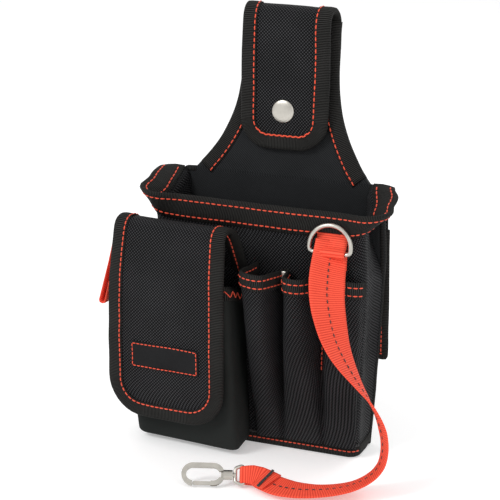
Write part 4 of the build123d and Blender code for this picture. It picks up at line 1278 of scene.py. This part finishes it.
def label():
    """A plain rubber label with rounded sides, sewn round its edge."""
    middle = FLAP_LINE.length - (FLAP_LONG - 85.0)
    half_x, half_z, corner, edge = 25.2, 9.3, 1.4, 1.3
    base = FLAP_T / 2
    rows = []
    for inset, height in ((0.0, 0.1), (0.0, 0.6), (0.3, 0.85), (1.0, 0.9), (6.0, 0.9)):
        loop = []
        for sx, sz, start in ((1, -1, 270), (1, 1, 0), (-1, 1, 90), (-1, -1, 180)):
            for turn in spread(math.radians(start), math.radians(start + 90), 5):
                across = sx * (half_x - inset - corner) + corner * math.cos(turn)
                along = middle + sz * (half_z - inset - corner) + corner * math.sin(turn)
                loop.append(FLAP.at(across, along, base + height))
        rows.append(loop)
    loft("label_patch_rubber", rows, RUBBER, "flap", ["label_patch"])
    sewn_x, sewn_z = half_x - edge, half_z - edge
    corners = [(sx * sewn_x, middle + sz * sewn_z) for sx, sz in ((-1, -1), (1, -1), (1, 1), (-1, 1))]
    lines = [seam(FLAP, straight(a, b), 0.0, base + 0.98) for a, b in zip(corners, corners[1:] + corners[:1])]
    stitches("label_stitches", lines, "flap", pitch=3.0, length=2.3, radius=0.36)


# --- webbing tabs
def ribbon(name, points, side, replaced, width=WEBBING, thick=WEBBING_T):
    """A flat strap through points, with its width along the given side."""
    rows = []
    for i, point in enumerate(points):
        way = heading(points, i)
        face = side.cross(way).normalized()
        rows.append(webbing_loop(point, way, face, 0.05, width, thick, 10))
    loft(name, rows, WEB_ORANGE, "pouch", [replaced])


def ring_tab():
    """A folded webbing tab under the rim, holding the ring's straight bar."""
    x, bar_y, bar_z, bar_round = 50.0, -27.6, 146.0, 2.5
    line = [(-22.8, 158), (-24.0, 152.5), (-25.9, 149.2)]
    for turn in spread(math.radians(100), math.radians(-100), 8):
        line.append((bar_y - bar_round * math.cos(turn), bar_z + bar_round * math.sin(turn)))
    line += [(-24.4, 140.5), (-22.4, 134)]
    points = [in_frame(x, y, z) for y, z in line]
    ribbon("ring_tab_webbing", points, Vector((1, 0, 0)), "ring_tab", 21.0, 1.3)


def side_tab():
    """A short loop of webbing sewn in at the phone pocket's left side."""
    corners = [(-93.5, 139.0), (-103.0, 96.0), (-107.0, 97.0), (-97.0, 140.0)]
    line = rounded_line(corners, [2.2, 2.2], 5)
    points = []
    for before, after in zip(line, line[1:]):
        points += [before.lerp(after, k / 3) for k in range(3)]
    points.append(line[-1])
    placed = [in_frame(spot.x, -33.5, spot.y) for spot in points]
    ribbon("side_tab_webbing", placed, Vector((0, 1, 0)), "side_tab")


# --- press stud and rear tab
def turned(name, centre, axis, profile, body, replaced, count=40):
    """A round metal piece: its profile is a list of (radius, height along the axis)."""
    axis = axis.normalized()
    side = axis.cross(Vector((0, 0, 1))).normalized()
    up = side.cross(axis)
    ways = [side * math.cos(turn) + up * math.sin(turn) for turn in spread(0.0, 2 * math.pi, count)[:-1]]
    rows = [[centre + axis * height + way * radius for way in ways] for radius, height in profile]
    return loft(name, rows, NICKEL, body, replaced, soft=False)


def press_stud():
    """The stud's cap: a shallow dome with a rolled edge, its shank through the cloth."""
    low, high = (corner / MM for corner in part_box("snap_cap"))
    centre = Vector(((low.x + high.x) / 2, low.y + 1.7, (low.z + high.z) / 2))
    profile = [(1.4, -4.0), (1.4, -0.4), (6.9, -0.4), (7.5, -0.1), (7.8, 0.45), (7.7, 0.9), (7.25, 1.15)]
    for turn in range(6, 90, 12):
        profile.append((7.0 * math.cos(math.radians(turn)), 1.1 + 0.85 * math.sin(math.radians(turn))))
    profile.append((0.3, 1.95))
    turned("snap_cap_dome", centre, Vector((0, -1, 0.042)), profile, "tongue", ["snap_cap"])


def rear_tab():
    """A bound flap that hangs behind the bag, sewn on at its top."""
    face_y, thick, corner = 22.1, 1.6, 3.0
    left, right, low, top, free_top = 30.0, 79.0, 62.0, 163.0, 153.0

    def place(across, z):
        return in_frame(across - 0.6 - (z - low) * 0.03, face_y + 0.5 * math.sin(z / 17.0), z)

    sheet = Sheet(place, -1.0)
    spans = [(z, left + 0.8, right - 0.8) for z in spread(top, low, 30)]
    cloth = panel("rear_tab_cloth", sheet, spans, 10, -thick / 2, thick / 2, WEAVE, None)
    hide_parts("rear_tab", "rear_tab_anchor")
    side = [((left, z), (1.0, 0.0)) for z in spread(free_top, low + corner, 30)]
    for turn in (0.4, 0.8, 1.2):
        way = (math.cos(turn), math.sin(turn))
        side.append(((left + corner - corner * way[0], low + corner - corner * way[1]), way))
    hem = [((across, low), (0.0, 1.0)) for across in spread(left + corner, right - corner, 10)]
    path = side + hem + mirrored(side, (left + right) / 2)
    binding("rear_tab_tape", sheet, path, thick / 2, 7.5, 7.5, RIBBED, "rear_flap", ["rear_tab_binding"])
    lines = [seam(sheet, path, 4.2, face * (thick / 2 + ON_TAPE)) for face in (1, -1)]
    stitches("rear_tab_stitches", lines, "rear_flap", pitch=3.2, length=2.5)
    anchor = []
    for z in (157.0, 160.5):
        anchor.append(seam(sheet, straight((left + 3, z), (right - 3, z)), 0.0, -thick / 2 - 0.15))
    stitches("rear_tab_anchor_stitches", anchor, "pouch")
    bend_at(cloth)


# --- the whole pouch
camera()
studio()
strap, strap_pieces, strap_points = lanyard()
bag_shell()
bag_bottom()
bag_rim()
back_wall()
tongue()
tool_pockets()
phone_pocket()
pocket_patch()
phone_flap()
flap_patch()
label()
ring_tab()
side_tab()
press_stud()
rear_tab()
for node in HOOK_NODES + ("d_ring", "snap_socket", "snap_stud", "snap_rivet", "pocket_rivet"):
    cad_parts[node].data.materials.clear()
    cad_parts[node].data.materials.append(NICKEL)
